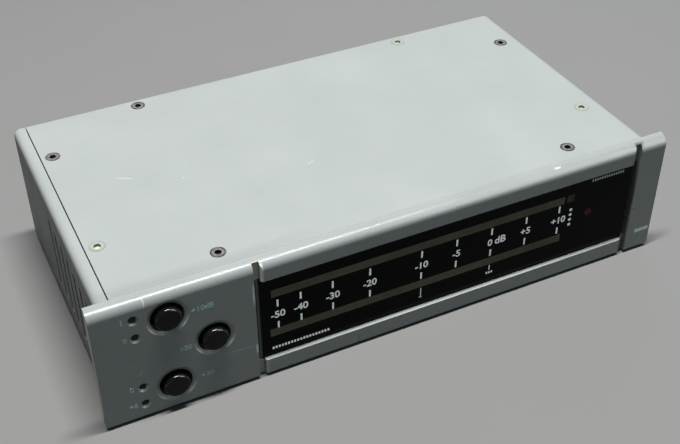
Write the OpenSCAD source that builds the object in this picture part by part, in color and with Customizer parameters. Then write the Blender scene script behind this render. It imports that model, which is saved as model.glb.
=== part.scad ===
// Two-channel LED peak meter in a flat case: a front panel with a long window, push buttons and indicator
// lamps, two bent shells, a rear plate with one connector, and the boards inside.
// Sizes across the front are measured from the panel's left end, depths from the panel's back face.

/* [Front panel] */
// Width of the front panel
panel_w = 190; // [184:1:230]
// Height of the front panel and of the case
panel_h = 43.6; // [43:0.1:60]
// Thickness of the front panel
panel_t = 3.5; // [3:0.1:5]
// Radius of the panel's upper front edge
edge_r = 3.4; // [0.5:0.1:5]
// Radius of the panel's lower front edge
base_edge_r = 0.8; // [0.3:0.1:3]
// Width of the plain block left of the window
left_block_w = 47.1; // [46:0.1:54]
// Width of the plain block right of the window
right_block_w = 9.4; // [6:0.1:14]
// Width of the two upright grooves beside the window
groove_w = 2.1; // [1.5:0.1:4]
// Depth of the grooves and of the step in front of the window
groove_depth = 1.4; // [0.6:0.1:1.5]
// Chamfer of the long strip's two ends, beside the grooves
strip_chamfer = 0.6; // [0.2:0.1:1.2]
// Depth of the two ribs behind the panel
rib_d = 12; // [11:0.5:16]
// Thickness of the two ribs behind the panel
rib_t = 3.2; // [3:0.1:4.4]
// Left end of the ribs, clear of the switches
rib_start = 30; // [29.5:0.1:35]

/* [Window] */
// Height of the panel above the window opening
window_top = 7.4; // [7:0.1:12]
// Height of the panel below the window opening
window_base = 5.8; // [5.7:0.1:9]
// Corner radius of the window opening
window_r = 1.6; // [0.5:0.1:3]
// How far the panel's lip covers the window plate above and below
window_lip = 0.6; // [0.3:0.1:1]
// How far the window plate ends short of the blocks beside it
window_end_gap = 0.8; // [0.3:0.1:1.2]
// Chamfer of the window plate's two ends
window_chamfer = 0.9; // [0.3:0.1:1]
// Thickness of the black mask behind the window
mask_t = 1; // [0.6:0.1:1.5]

/* [Bar displays] */
// Length of one light bar
bar_len = 101.6; // [90:0.1:106]
// Height of one light bar
bar_h = 2.8; // [1.5:0.1:4]
// Number of segments in one light bar
bar_segments = 101; // [21:1:101]
// Width of one segment as a share of its pitch
segment_fill = 0.75; // [0.5:0.05:0.9]
// Left end of the bars beyond the left block
bar_inset = 4.4; // [2.5:0.1:6]
// Height of the upper bar above the window's middle
upper_bar_rise = 6.9; // [5.4:0.1:10.2]
// Height of the lower bar below the window's middle
lower_bar_drop = 6.9; // [5.4:0.1:9.5]
// Height of one bar display's housing
bar_body_h = 10; // [7:0.1:10.5]
// How far the segments stand out of their housing
segment_out = 1.2; // [0.5:0.1:2]
// Width of the lamp at the end of the upper bar
over_w = 3.1; // [2:0.1:5]
// Gap between the upper bar and that lamp
over_gap = 0.6; // [0.4:0.1:2]

/* [Buttons and lamps] */
// Distance of the two left buttons from the panel's left end
button_x = 21.6; // [21:0.1:24]
// Sideways step to the middle button
button_step_x = 12.7; // [12.4:0.1:13]
// Distance of the upper button from the panel's top
button_top = 9.4; // [8.5:0.1:10]
// Distance of the lower button from the panel's base
button_base = 8.8; // [8.5:0.1:11]
// Diameter of a button cap
cap_d = 7.9; // [6:0.1:9]
// Gap between a button cap and its hole, all round
cap_gap = 1; // [0.5:0.05:1.6]
// How far a button cap stands out of the panel
cap_out = 1.3; // [1.1:0.1:3]
// Radius of a cap's front edge
cap_edge_r = 0.8; // [0.3:0.1:1]
// Travel of a button
cap_travel = 1; // [0.5:0.1:1.1]
// Width of the dished edge round each button hole
hole_chamfer = 1.2; // [0.2:0.1:1.3]
// Depth of the dished edge round each button hole
hole_chamfer_depth = 0.55; // [0.1:0.05:1]
// How far a cap's flange reaches behind the panel, all round
flange_over = 0.6; // [0.3:0.1:0.8]
// Diameter of a switch plunger
plunger_d = 3.4; // [2.5:0.1:4.5]
// Side of a switch housing
switch_w = 11.6; // [10:0.1:12]
// Depth of a switch housing
switch_d = 4.6; // [4:0.1:4.8]
// Diameter of an indicator lamp
lamp_d = 2; // [1.8:0.1:3.5]
// Length of an indicator lamp from its rim to its tip
lamp_len = 5.3; // [4:0.1:6]
// How far a lamp's tip lies behind the panel's front
lamp_recess = 2.4; // [0.5:0.1:3]
// Distance of the lamps from the panel's left end
lamp_x = 12; // [11:0.1:12.5]
// Height step between the two lamps of a pair
lamp_pitch = 6.5; // [6:0.1:7]
// Width and depth of the chamfer round each lamp hole
lamp_chamfer = 0.5; // [0.1:0.1:0.8]

/* [Case] */
// Depth of the case behind the panel
case_d = 93.8; // [90:0.1:140]
// How far the panel overhangs the case on the left
overhang_left = 3.2; // [1:0.1:4]
// How far the panel overhangs the case on the right
overhang_right = 6.2; // [1:0.1:8]
// Wall of the two case shells
shell_t = 2; // [1.5:0.1:2.5]
// Outer radius of the long case edges
shell_r = 2.5; // [1:0.1:4]
// Width of the lip that each shell folds over the other one's side
shell_lip = 3.8; // [3:0.1:4.5]
// Gap between the shells along the seam
seam_gap = 0.35; // [0.2:0.05:0.6]
// Number of vent slots in each side wall
vent_count = 7; // [3:1:9]
// Width of a vent slot
vent_w = 2.2; // [1:0.1:4]
// Height of a vent slot
vent_h = 26; // [12:0.5:30]
// Step from vent slot to vent slot
vent_pitch = 7; // [5:0.1:8]
// Depth of the first vent slot behind the panel
vent_start = 11.5; // [6:0.1:20]

/* [Rear] */
// Thickness of the rear plate's web
rear_web = 2; // [1.5:0.1:3]
// Depth of the rear plate's rim
rear_rim_d = 6.6; // [6.2:0.1:9]
// Width of the rear plate's rim
rear_rim_w = 5; // [4:0.1:5.5]
// Distance of the rear connector from the middle of the case
connector_x = -38; // [-50:1:10]

/* [Fasteners] */
// Diameter of the screws
screw_d = 2.5; // [2.2:0.1:3]
// Head diameter of the countersunk screws
screw_head_d = 4.6; // [4.4:0.1:6]
// Width across the flats of the shell pillars
pillar_af = 6; // [5:0.1:7]
// Distance of the pillars from the case's sides
pillar_inset = 7.8; // [7:0.1:10]
// Depth of the front pair of pillars
pillar_front = 23.5; // [20:0.1:30]
// Distance of the rear pair of pillars from the case's rear
pillar_rear = 20.6; // [16:0.1:34]
// Left cover screw into the panel's ribs, from the panel's left end
front_screw_left = 40.5; // [39:0.1:60]
// Right cover screw into the panel's ribs, from the panel's left end
front_screw_right = 158; // [140:0.1:165]
// Depth of the cover screws into the panel's ribs
front_screw_y = 5.9; // [5:0.1:6.2]
// Half the spacing of the cover screws into the rear plate
rear_screw_half = 49.3; // [40:0.1:60]

/* [Boards] */
// Thickness of the boards
board_t = 1.6; // [1:0.1:2]
// Depth of the front board's face behind the panel
front_board_y = 8; // [7.9:0.1:8.4]
// Width of the main board
main_w = 144; // [140:1:148]
// Depth of the main board's front edge behind the panel
main_y = 14; // [13:0.1:16]
// Gap between the main board's rear edge and the rear plate's rim
main_rear_gap = 1.2; // [0.5:0.1:4]
// Height of the main board's standoffs
standoff_h = 6; // [5.5:0.1:8]

/* [Board parts] */
// Side of an input transformer's base
transformer_w = 20; // [16:0.1:21]
// Height of an input transformer
transformer_h = 16.2; // [10:0.1:24]
// Thickness of a transformer's base
transformer_base = 1.5; // [1:0.1:3]
// Width of the base left bare round a transformer's can
transformer_margin = 1; // [0.3:0.1:2]
// Corner radius of a transformer's can
transformer_r = 2.5; // [1:0.1:4]
// Distance of the transformers from the main board's left end
transformer_x = 84; // [82:0.5:90]
// Step from transformer to transformer
transformer_pitch = 24; // [22:0.5:28]
// Distance of the transformers' front from the main board's rear edge
transformer_rear = 28; // [26:0.5:34]
// Diameter of the two large capacitors
reservoir_d = 10; // [6:0.1:12]
// Height of the two large capacitors
reservoir_h = 20; // [10:0.1:26]
// Distance of the large capacitors from the main board's left end
reservoir_x = 66; // [64:0.5:70]
// Step between the large capacitors
reservoir_pitch = 14; // [12.5:0.5:18]
// Diameter of the small capacitors
coupling_d = 6.3; // [4:0.1:8]
// Height of the small capacitors
coupling_h = 11; // [6:0.1:20]
// Distance of the first small capacitor from the main board's left end
coupling_x = 80; // [78:0.5:82]
// Step between the small capacitors
coupling_pitch = 10; // [8.5:0.5:11]
// Distance of the capacitors from the main board's front edge
capacitor_y = 17; // [12:0.5:18]
// Width of a chip
chip_w = 6.4; // [4:0.1:7]
// Length of a chip
chip_len = 19.3; // [19:0.1:22]
// Height of a chip
chip_h = 3.3; // [2:0.1:5]
// Step from chip to chip
chip_pitch = 9.6; // [8.4:0.1:10]
// Distance of the first chip from the main board's left end
chip_x = 12; // [11:0.5:13]
// Distance of the chips from the main board's front edge
chip_y = 16; // [10:0.5:19]
// Width of a trimmer
trimmer_w = 4.8; // [4:0.1:6]
// Length of a trimmer
trimmer_len = 9.5; // [6:0.1:11]
// Height of a trimmer
trimmer_h = 6.4; // [4:0.1:10]
// Step from trimmer to trimmer
trimmer_pitch = 7; // [6.2:0.1:7.5]
// Distance of the first trimmer from the main board's left end
trimmer_x = 112; // [110:0.5:114]
// Distance of the trimmers from the main board's front edge
trimmer_y = 12; // [10:0.5:16]
// Distance of the heat sink from the main board's left end
sink_x = 18; // [14:0.5:20]
// Distance of the heat sink's web from the main board's rear edge
sink_rear = 20; // [18.5:0.5:24]
// Step from fin to fin of the heat sink
fin_pitch = 6.4; // [4:0.1:7]
// Thickness of the heat sink's fins
fin_t = 1.6; // [1:0.1:2.5]
// Thickness of the heat sink's web
sink_web = 2.5; // [1.5:0.1:3]
// Length of the heat sink's fins
fin_len = 9; // [4:0.5:10]
// Height of the heat sink
sink_h = 22; // [18:0.5:30]
// Width of a voltage regulator
regulator_w = 10; // [8:0.1:12]
// Thickness of a voltage regulator
regulator_t = 4.6; // [3:0.1:6]
// Height of a voltage regulator
regulator_h = 16; // [10:0.1:20]
// Step from regulator to regulator
regulator_pitch = 16; // [13:0.5:18]

/* [Connector and header] */
// Width of the connector's keyed shell
d_w = 24.7; // [24:0.1:26]
// Height of the connector's keyed shell
d_h = 7.9; // [7.5:0.1:9]
// How far the keyed shell stands out behind its flange
d_out = 5.9; // [5:0.1:7]
// Width of the connector's flange
d_flange_w = 39.2; // [38:0.1:42]
// Height of the connector's flange
d_flange_h = 12.5; // [11.5:0.1:14]
// Thickness of the connector's flange
d_flange_t = 0.9; // [0.6:0.1:1.2]
// Depth of the insulating body in front of the flange
insert_d = 9; // [6:0.1:10]
// Step between the contacts of a row
contact_pitch = 2.77; // [2.5:0.01:2.8]
// Step between the two rows of contacts
contact_row = 2.84; // [2.5:0.01:3]
// Diameter of a contact's hole
contact_d = 1.1; // [0.8:0.1:1.4]
// Contacts in the longer row
contact_count = 8; // [5:1:8]
// Half the spacing of the jackscrews
jack_half = 16.65; // [16.2:0.05:17]
// Width across the flats of a jackscrew
jack_af = 4.8; // [4.5:0.1:5.5]
// Height of a jackscrew's hexagon
jack_h = 5; // [4.5:0.1:8]
// Diameter of a jackscrew's bore, and of its stud
jack_bore = 2.85; // [2.2:0.05:3]
// Depth of a jackscrew's bore
jack_bore_depth = 4.2; // [3:0.1:4.4]
// Pins of the header between the boards
header_pins = 20; // [10:1:30]
// Step from pin to pin of the header
header_pitch = 2.54; // [2:0.01:2.6]
// Height of the header's body
header_h = 2.5; // [2:0.1:4]

/* [Clearances] */
// Gap round a loose fit
fit = 0.1; // [0.05:0.01:0.2]
// Radial gap of the plungers in their switches
slide_fit = 0.06; // [0.03:0.01:0.1]

/* [Hidden] */
$fn = 48;

over = 1;                                     // how far a cutting tool runs past a face
merge = 0.2;                                  // how far two forms of one piece reach into each other
least_r = 0.3;                                // smallest inner corner radius
panel_mid = panel_h / 2;
left_end = -panel_w / 2;
round_r = min(edge_r, panel_t);
base_round_r = min(base_edge_r, panel_t);
least_step = 0.1;                             // smallest upright left below a chamfer
strip_bevel = min(strip_chamfer, groove_depth - least_step);

// Window and what lies behind it
window_h = panel_h - window_top - window_base;
window_mid = window_base + window_h / 2;
window_left = left_end + left_block_w;
window_right = panel_w / 2 - right_block_w;
window_w = window_right - window_left;
window_t = panel_t - groove_depth;
window_plate_h = window_h + 2 * window_lip;
mask_margin = 1.2;
bar_left = window_left + bar_inset;
upper_bar_z = window_mid + upper_bar_rise;
lower_bar_z = window_mid - lower_bar_drop;
mask_slot_gap = 0.4;                          // room round a bar in its slot in the mask
bar_air = 0.2;                                // gap between the mask and the bars' faces
bar_front = mask_t + bar_air;
bar_body_y = bar_front + segment_out;
over_left = bar_left + bar_len + over_gap;
over_body_h = 8;

// Case
case_left = left_end + overhang_left;
case_right = panel_w / 2 - overhang_right;
case_w = case_right - case_left;
case_mid = (case_left + case_right) / 2;
inner_top = panel_h - shell_t;
rib_left = left_end + rib_start;
rib_end_gap = 2;
rib_right = case_right - shell_t - rib_end_gap;

// Buttons, plungers and switches: each entry is x, z
upper_button = [left_end + button_x, panel_h - button_top];
lower_button = [left_end + button_x, button_base];
middle_button = [left_end + button_x + button_step_x, (upper_button[1] + lower_button[1]) / 2];
hole_d = cap_d + 2 * cap_gap;
flange_d = hole_d + 2 * flange_over;
switch_y = front_board_y - switch_d;
flange_t = 1;
flange_rest = 0.4;                            // gap from the panel's back to the flange at rest
socket_depth = 3;                             // bore of a cap, from its back
plunger_in = 1.2;                             // length of plunger inside the switch at rest
plunger_end_gap = 0.4;                        // left behind the plunger when it is pressed
switch_r = 0.8;
pin_d = 0.8;
pin_out = 1.2;
pin_half_x = 3.5;
pin_half_z = 2.5;
switch_pins = [for (sx = [-1, 1], sz = [-1, 1]) [sx * pin_half_x, sz * pin_half_z]];

// Indicator lamps: each entry is x, z
lamp_drop = 0.5;
lamp_side = left_end + lamp_x;
lamp_places = [for (b = [upper_button, lower_button], s = [1, -1])
    [lamp_side, b[1] - lamp_drop + s * lamp_pitch / 2]];
lamp_rim_over = 0.4;
lamp_rim_d = lamp_d + 2 * lamp_rim_over;
lamp_rim_t = 1;
lamp_rim_y = lamp_len - panel_t + lamp_recess;
spacer_d = 4.2;

// Front board and its post on the panel
card_slot = 1.2;                              // depth of the ribs' card slots
card_edge_gap = 0.2;
board_low = shell_t + rib_t - card_slot + card_edge_gap;
board_high = inner_top - rib_t + card_slot - card_edge_gap;
ear_margin = 0.6;
ear_rib_gap = 0.5;
ear_wall_gap = 1.8;
board_end_gap = 1;
ear_right = rib_left - ear_rib_gap;
ear_left = case_left + shell_t + ear_wall_gap;
board_right = rib_right - board_end_gap;
post_d = 6;
post_place = [lamp_side, panel_mid];

// Screws
head_k = (screw_head_d - screw_d) / 2;
socket_af = 2;
socket_deep = 1.2;
cover_screw_len = 6;
thread_gap = 0.05;
clear_gap = 0.2;
tap_d = screw_d + 2 * thread_gap;
clear_d = screw_d + 2 * clear_gap;
tap_depth = 8;
pan_head_d = 5;
pan_head_h = 1.9;

// Screw places: each entry is x, y
pillar_places = [for (x = [case_left + pillar_inset, case_right - pillar_inset],
                      y = [pillar_front, case_d - pillar_rear]) [x, y]];
rib_screw_places = [for (x = [front_screw_left, front_screw_right]) [left_end + x, front_screw_y]];
rear_screw_places = [for (s = [-1, 1]) [case_mid + s * rear_screw_half, case_d - rear_rim_d / 2]];
cover_places = concat(pillar_places, rib_screw_places, rear_screw_places);

// Main board
main_left = case_mid - main_w / 2;
main_d = case_d - rear_rim_d - main_rear_gap - main_y;
main_bottom = shell_t + standoff_h;
main_top = main_bottom + board_t;
standoff_af = 5.5;
standoff_margin = 6;
screw_meet_gap = 0.3;                         // left by each of two screws that meet in a standoff
standoff_places = [for (x = [main_left + standoff_margin, main_left + main_w - standoff_margin],
                        y = [main_y + standoff_margin, main_y + main_d - standoff_margin]) [x, y]];

// Parts on the main board
crimp = 0.3;                                  // step of a capacitor's crimped top
crimp_in = 0.9;                               // how far its flat top lies inside the can
chip_count = 5;
chip_lift = 0.5;
leg_count = 7;
leg_w = 0.6;
leg_t = 0.5;
leg_pitch = 2.54;
leg_start = (chip_len - (leg_count - 1) * leg_pitch - leg_w) / 2;
trimmer_count = 4;
trimmer_screw_d = 2.2;
trimmer_screw_out = 1;
fin_count = 6;
sink_w = (fin_count - 1) * fin_pitch + fin_t;
regulator_x = (sink_w - regulator_pitch - regulator_w) / 2;

// Rear connector with two rows of contacts
d_taper = 10;                                 // lean of the keyed shell's ends
d_wall = 0.5;
d_margin = 0.4;                               // room round the shell in the rear plate
contact_deep = 4;
insert_recess = 0.3;                          // from the shell's rim to the contact face
jack_stud = 5;                                // length of stud in front of the rear plate
jack_clear_d = jack_bore + 2 * clear_gap;
connector_mid = case_mid + connector_x;
jack_places = [for (s = [-1, 1]) connector_mid + s * jack_half];
connector_z = main_top + d_flange_h / 2;
web_inner = case_d - rear_web;
rim_inner = case_d - rear_rim_d;
d_flange_y = web_inner - d_flange_t;
jack_end = case_d + jack_h;

// Header between the boards
header_pin = 0.64;
header_on = 3;                                // length of the header's body on the main board
header_pin_out = 1.8;                         // length of the pins behind that body

// The front-most and rear-most points set the middle of the whole part
y_front = -(panel_t + cap_out);
y_shift = -(y_front + jack_end) / 2;

// Moves a piece from the panel's depth scale to the part's origin
module place() translate([0, y_shift, 0]) children();

// Extrudes a front-view outline along the depth
module along_y(y, len) translate([0, y + len, 0]) rotate([90, 0, 0]) linear_extrude(len) children();

// Extrudes a side-view outline along the width
module along_x(x, len) translate([x, 0, 0]) rotate([90, 0, 90]) linear_extrude(len) children();

// Round bar or bore along the depth, at a front-view place
module bar_y(at, y, len, d) translate([at[0], y + len, at[1]]) rotate([90, 0, 0]) cylinder(h = len, d = d);

// Block from its lowest corner
module block(at, size) translate(at) cube(size);

// Hexagonal bar by its width across the flats
module hex(af, h) cylinder(h = h, d = af / cos(30), $fn = 6);

// Rectangle with round corners, from its lowest corner
module rounded(w, h, r) {
    translate([r, 0]) square([w - 2 * r, h]);
    translate([0, r]) square([w, h - 2 * r]);
    for (x = [r, w - r], y = [r, h - r]) translate([x, y]) circle(r);
}

// Side-view outline of the panel plate with its wide upper and its small lower front edge
module panel_outline() {
    intersection() {
        translate([-panel_t, 0]) square([panel_t, panel_h]);
        union() {
            translate([-panel_t, base_round_r]) square([panel_t, panel_h - round_r - base_round_r]);
            translate([-panel_t + round_r, base_round_r]) square([panel_t, panel_h]);
            translate([-panel_t + base_round_r, 0]) square([panel_t, panel_h - round_r]);
            translate([-panel_t + base_round_r, base_round_r]) circle(base_round_r);
            translate([-panel_t + round_r, panel_h - round_r]) circle(round_r);
        }
    }
}

// Upright groove from a block's edge towards the window, with the chamfer of the strip beyond it
module groove(x, side) {
    strip = x + side * groove_w;
    translate([0, 0, -over]) linear_extrude(panel_h + 2 * over) polygon([
        [x, -panel_t - over], [x, -window_t], [strip, -window_t], [strip, -panel_t + strip_bevel],
        [strip + side * strip_bevel, -panel_t], [strip + side * strip_bevel, -panel_t - over]
    ]);
}

// One rib behind the panel, with the slot that takes the front board's edge
module panel_rib(z, slot_z) {
    difference() {
        block([rib_left, -over / 2, z], [rib_right - rib_left, rib_d + over / 2, rib_t]);
        block([rib_left - over, front_board_y - fit, slot_z],
              [rib_right - rib_left + 2 * over, board_t + 2 * fit, card_slot + over]);
        for (p = rib_screw_places) translate([p[0], p[1], z - over])
            cylinder(h = rib_t + 2 * over, d = tap_d);
    }
}

// Hole through the panel whose front edge is dished
module dished_hole(at, d, width, depth) {
    bar_y(at, -panel_t - over, panel_t + 2 * over, d);
    translate([at[0], -panel_t + depth, at[1]]) rotate([90, 0, 0])
        cylinder(h = depth + over, d1 = d, d2 = d + 2 * width * (depth + over) / depth);
}

module front_panel() color("#9aa3a5") place() {
    difference() {
        union() {
            along_x(left_end, panel_w) panel_outline();
            panel_rib(inner_top - rib_t, inner_top - rib_t - over);
            panel_rib(shell_t, shell_t + rib_t - card_slot);
            bar_y(post_place, -over / 2, front_board_y + over / 2, post_d);
        }
        groove(window_left, 1);
        groove(window_right, -1);
        along_y(-panel_t - over, groove_depth + 2 * over)
            translate([window_left, window_mid - window_h / 2]) rounded(window_w, window_h, window_r);
        along_y(-window_t, window_t + over)
            translate([window_left, window_mid - window_plate_h / 2])
                rounded(window_w, window_plate_h, window_r);
        for (b = [upper_button, middle_button, lower_button])
            dished_hole(b, hole_d, hole_chamfer, hole_chamfer_depth);
        for (p = lamp_places) dished_hole(p, lamp_d + 2 * fit, lamp_chamfer, lamp_chamfer);
        bar_y(post_place, over / 2, front_board_y, tap_d);
    }
}

// Window plate between the blocks, with its two ends chamfered
module display_window() color("#0b0d0e") place() {
    left = window_left + window_end_gap;
    right = window_right - window_end_gap;
    low = window_mid - window_plate_h / 2 + fit;
    height = window_plate_h - 2 * fit;
    intersection() {
        along_y(-window_t, window_t) translate([left, low]) rounded(right - left, height, window_r);
        translate([0, 0, low]) linear_extrude(height) polygon([
            [left, 0], [left, -window_t + window_chamfer], [left + window_chamfer, -window_t],
            [right - window_chamfer, -window_t], [right, -window_t + window_chamfer], [right, 0]
        ]);
    }
}

module light_mask() color("#1a1b1c") place() {
    slot_h = bar_h + 2 * mask_slot_gap;
    difference() {
        block([window_left + mask_margin, 0, window_mid - window_h / 2],
              [window_w - 2 * mask_margin, mask_t, window_h]);
        for (z = [upper_bar_z, lower_bar_z])
            block([bar_left - mask_slot_gap, -over, z - slot_h / 2],
                  [bar_len + 2 * mask_slot_gap, mask_t + 2 * over, slot_h]);
        block([over_left, -over, upper_bar_z - slot_h / 2],
              [over_w + mask_slot_gap, mask_t + 2 * over, slot_h]);
    }
}

// One bar display: a housing on the front board and its row of light segments
module bargraph(z) {
    pitch = bar_len / bar_segments;
    color("#26282a") block([bar_left, bar_body_y, z - bar_body_h / 2],
                           [bar_len, front_board_y - bar_body_y, bar_body_h]);
    color("#6d7058") for (i = [0:bar_segments - 1])
        block([bar_left + (i + (1 - segment_fill) / 2) * pitch, bar_front, z - bar_h / 2],
              [pitch * segment_fill, segment_out + merge, bar_h]);
}

module upper_bargraph() place() bargraph(upper_bar_z);
module lower_bargraph() place() bargraph(lower_bar_z);

module over_lamp() color("#70644f") place() {
    block([over_left, bar_front, upper_bar_z - bar_h / 2], [over_w, segment_out + merge, bar_h]);
    block([over_left, bar_body_y, upper_bar_z - over_body_h / 2],
          [over_w, front_board_y - bar_body_y, over_body_h]);
}

module front_board() color("#2f6b46") place() {
    difference() {
        union() {
            block([ear_left, front_board_y, shell_t + ear_margin],
                  [ear_right - ear_left, board_t, panel_h - 2 * shell_t - 2 * ear_margin]);
            block([ear_left, front_board_y, board_low],
                  [board_right - ear_left, board_t, board_high - board_low]);
        }
        for (b = [upper_button, middle_button, lower_button], p = switch_pins)
            bar_y(b + p, front_board_y - over, board_t + 2 * over, pin_d + 2 * fit);
        bar_y(post_place, front_board_y - over, board_t + 2 * over, clear_d);
    }
}

module front_board_screw() color("#b9bcbe") place() {
    head_y = front_board_y + board_t;
    difference() {
        bar_y(post_place, head_y, pan_head_h, pan_head_d);
        translate([post_place[0], head_y + pan_head_h + over, post_place[1]]) rotate([90, 0, 0])
            hex(socket_af, socket_deep + over);
    }
    bar_y(post_place, head_y - cover_screw_len, cover_screw_len + merge, screw_d);
}

// Cap of a push button: a turned head, a flange that keeps it behind the panel and a bore for the plunger
module button_cap(at) {
    head_len = panel_t + cap_out + flange_rest;
    r = cap_d / 2;
    translate([at[0], y_front, at[1]]) rotate([-90, 0, 0]) difference() {
        rotate_extrude() union() {
            translate([0, cap_edge_r]) square([r, head_len - cap_edge_r]);
            square([r - cap_edge_r, head_len]);
            intersection() {
                translate([r - cap_edge_r, cap_edge_r]) circle(cap_edge_r);
                square([r, cap_edge_r + over]);
            }
            translate([0, head_len]) square([flange_d / 2, flange_t]);
        }
        translate([0, 0, head_len + flange_t - socket_depth])
            cylinder(h = socket_depth + over, d = plunger_d + 2 * slide_fit);
    }
}

module upper_button_cap() color("#1d1f21") place() button_cap(upper_button);
module middle_button_cap() color("#1d1f21") place() button_cap(middle_button);
module lower_button_cap() color("#1d1f21") place() button_cap(lower_button);

// Plunger from the bottom of the cap's bore into the switch
module plunger(at) {
    start = flange_rest + flange_t - socket_depth;
    bar_y(at, start, switch_y + plunger_in - start, plunger_d);
}

module upper_plunger() color("#d8d4c6") place() plunger(upper_button);
module middle_plunger() color("#d8d4c6") place() plunger(middle_button);
module lower_plunger() color("#d8d4c6") place() plunger(lower_button);

// Switch housing on the front board, with the plunger's bore and four pins
module switch_body(at) {
    bore = plunger_in + cap_travel + plunger_end_gap;
    difference() {
        along_y(switch_y, switch_d) translate([at[0] - switch_w / 2, at[1] - switch_w / 2])
            rounded(switch_w, switch_w, switch_r);
        bar_y(at, switch_y - over, bore + over, plunger_d + 2 * slide_fit);
    }
    for (p = switch_pins) bar_y(at + p, front_board_y - merge, board_t + pin_out + merge, pin_d);
}

module upper_switch() color("#3a3c3f") place() switch_body(upper_button);
module middle_switch() color("#3a3c3f") place() switch_body(middle_button);
module lower_switch() color("#3a3c3f") place() switch_body(lower_button);

// Indicator lamp with a rim and a domed tip, in its hole in the panel
module indicator(at) {
    r = lamp_d / 2;
    translate([at[0], lamp_rim_y, at[1]]) rotate([90, 0, 0]) {
        cylinder(h = lamp_rim_t, d = lamp_rim_d);
        cylinder(h = lamp_len - r, r = r);
        translate([0, 0, lamp_len - r]) sphere(r);
    }
}

module amber_indicator() color("#c9b36a") place() indicator(lamp_places[0]);
module clear_indicators() color("#cfd2cc") place() for (i = [1:3]) indicator(lamp_places[i]);

module indicator_spacers() color("#4a4c4f") place()
    for (p = lamp_places) bar_y(p, lamp_rim_y, front_board_y - lamp_rim_y, spacer_d);

// Front-view outline of the shell with the top: it ends at the seam and folds under at the far side
module shell_outline() {
    inner_r = max(shell_r - shell_t, least_r);
    difference() {
        translate([case_left, 0]) rounded(case_w, panel_h, shell_r);
        translate([case_left + shell_t, shell_t])
            rounded(case_w - 2 * shell_t, panel_h - 2 * shell_t, inner_r);
        translate([case_left - over, shell_t]) square([shell_t + over, panel_h]);
        translate([case_left - over, -over]) square([case_w - shell_lip + over, shell_t + 2 * over]);
        translate([case_left - over, panel_h - shell_t - over])
            square([shell_lip + seam_gap + over, shell_t + 2 * over]);
    }
}

// Upright slots with round ends through the side wall
module vents(x) {
    for (i = [0:vent_count - 1]) translate([x, vent_start + i * vent_pitch, panel_mid]) {
        block([-over, -vent_w / 2, -(vent_h - vent_w) / 2], [shell_t + 2 * over, vent_w, vent_h - vent_w]);
        for (s = [-1, 1]) translate([-over, 0, s * (vent_h - vent_w) / 2]) rotate([0, 90, 0])
            cylinder(h = shell_t + 2 * over, d = vent_w);
    }
}

// Countersunk hole from the face at height 0 downwards
module sunk_hole() {
    translate([0, 0, -shell_t - over]) cylinder(h = shell_t + 2 * over, d = tap_d);
    translate([0, 0, -head_k]) cylinder(h = head_k, d1 = tap_d, d2 = screw_head_d + 2 * fit);
    cylinder(h = over, d = screw_head_d + 2 * fit);
}

module upper_shell() color("#a9b2b5") place() {
    difference() {
        along_y(0, case_d) shell_outline();
        vents(case_right - shell_t);
        for (p = cover_places) translate([p[0], p[1], panel_h]) sunk_hole();
    }
}

// The same bent shell turned over about the case's middle
module lower_shell() color("#a0a9ac") place() {
    difference() {
        translate([2 * case_mid, 0, panel_h]) rotate([0, 180, 0]) along_y(0, case_d) shell_outline();
        vents(case_left);
        for (p = concat(cover_places, standoff_places))
            translate([p[0], p[1], 0]) rotate([180, 0, 0]) sunk_hole();
    }
}

// Outline of the connector's keyed shell, grown by a margin
module d_outline(grow) {
    top = d_w / 2 + grow;
    bottom = top - (d_h + 2 * grow) * tan(d_taper);
    half = d_h / 2 + grow;
    polygon([[-top, half], [top, half], [bottom, -half], [-bottom, -half]]);
}

module rear_panel() color("#8f989b") place() {
    left = case_left + shell_t + fit;
    width = case_w - 2 * shell_t - 2 * fit;
    height = panel_h - 2 * shell_t;
    difference() {
        along_y(rim_inner, rear_rim_d) translate([left, shell_t])
            rounded(width, height, max(shell_r - shell_t, least_r));
        block([left + rear_rim_w, rim_inner - over, shell_t + rear_rim_w],
              [width - 2 * rear_rim_w, rear_rim_d - rear_web + over, height - 2 * rear_rim_w]);
        along_y(web_inner - over, rear_web + 2 * over)
            translate([connector_mid, connector_z]) d_outline(d_margin);
        for (x = jack_places)
            bar_y([x, connector_z], web_inner - over, rear_web + 2 * over, jack_clear_d);
        for (p = rear_screw_places, z = [shell_t - over, inner_top - rear_rim_w - over])
            translate([p[0], p[1], z]) cylinder(h = rear_rim_w + 2 * over, d = tap_d);
    }
}

module shell_pillars() color("#c5c8ca") place()
    for (p = pillar_places) translate([p[0], p[1], shell_t]) difference() {
        hex(pillar_af, panel_h - 2 * shell_t);
        translate([0, 0, -over]) cylinder(h = tap_depth + over, d = tap_d);
        translate([0, 0, panel_h - 2 * shell_t - tap_depth]) cylinder(h = tap_depth + over, d = tap_d);
    }

// Countersunk socket screw with its head's face at height 0
module flat_screw(len) {
    difference() {
        union() {
            translate([0, 0, -head_k]) cylinder(h = head_k, d1 = screw_d, d2 = screw_head_d);
            translate([0, 0, -len]) cylinder(h = len - head_k, d = screw_d);
        }
        translate([0, 0, -socket_deep]) hex(socket_af, socket_deep + over);
    }
}

// Black screws: the rear pair of pillars, the panel's ribs and the rear plate's left hole
module black_cover_screws() color("#222426") place()
    for (p = concat([pillar_places[1], pillar_places[3], rear_screw_places[0]], rib_screw_places))
        translate([p[0], p[1], panel_h]) flat_screw(cover_screw_len);

// Bright screws: the front pair of pillars and the rear plate's right hole
module bright_cover_screws() color("#d6d2b4") place()
    for (p = [pillar_places[0], pillar_places[2], rear_screw_places[1]])
        translate([p[0], p[1], panel_h]) flat_screw(cover_screw_len);

module base_screws() color("#222426") place()
    for (p = cover_places) translate([p[0], p[1], 0]) rotate([180, 0, 0]) flat_screw(cover_screw_len);

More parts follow.
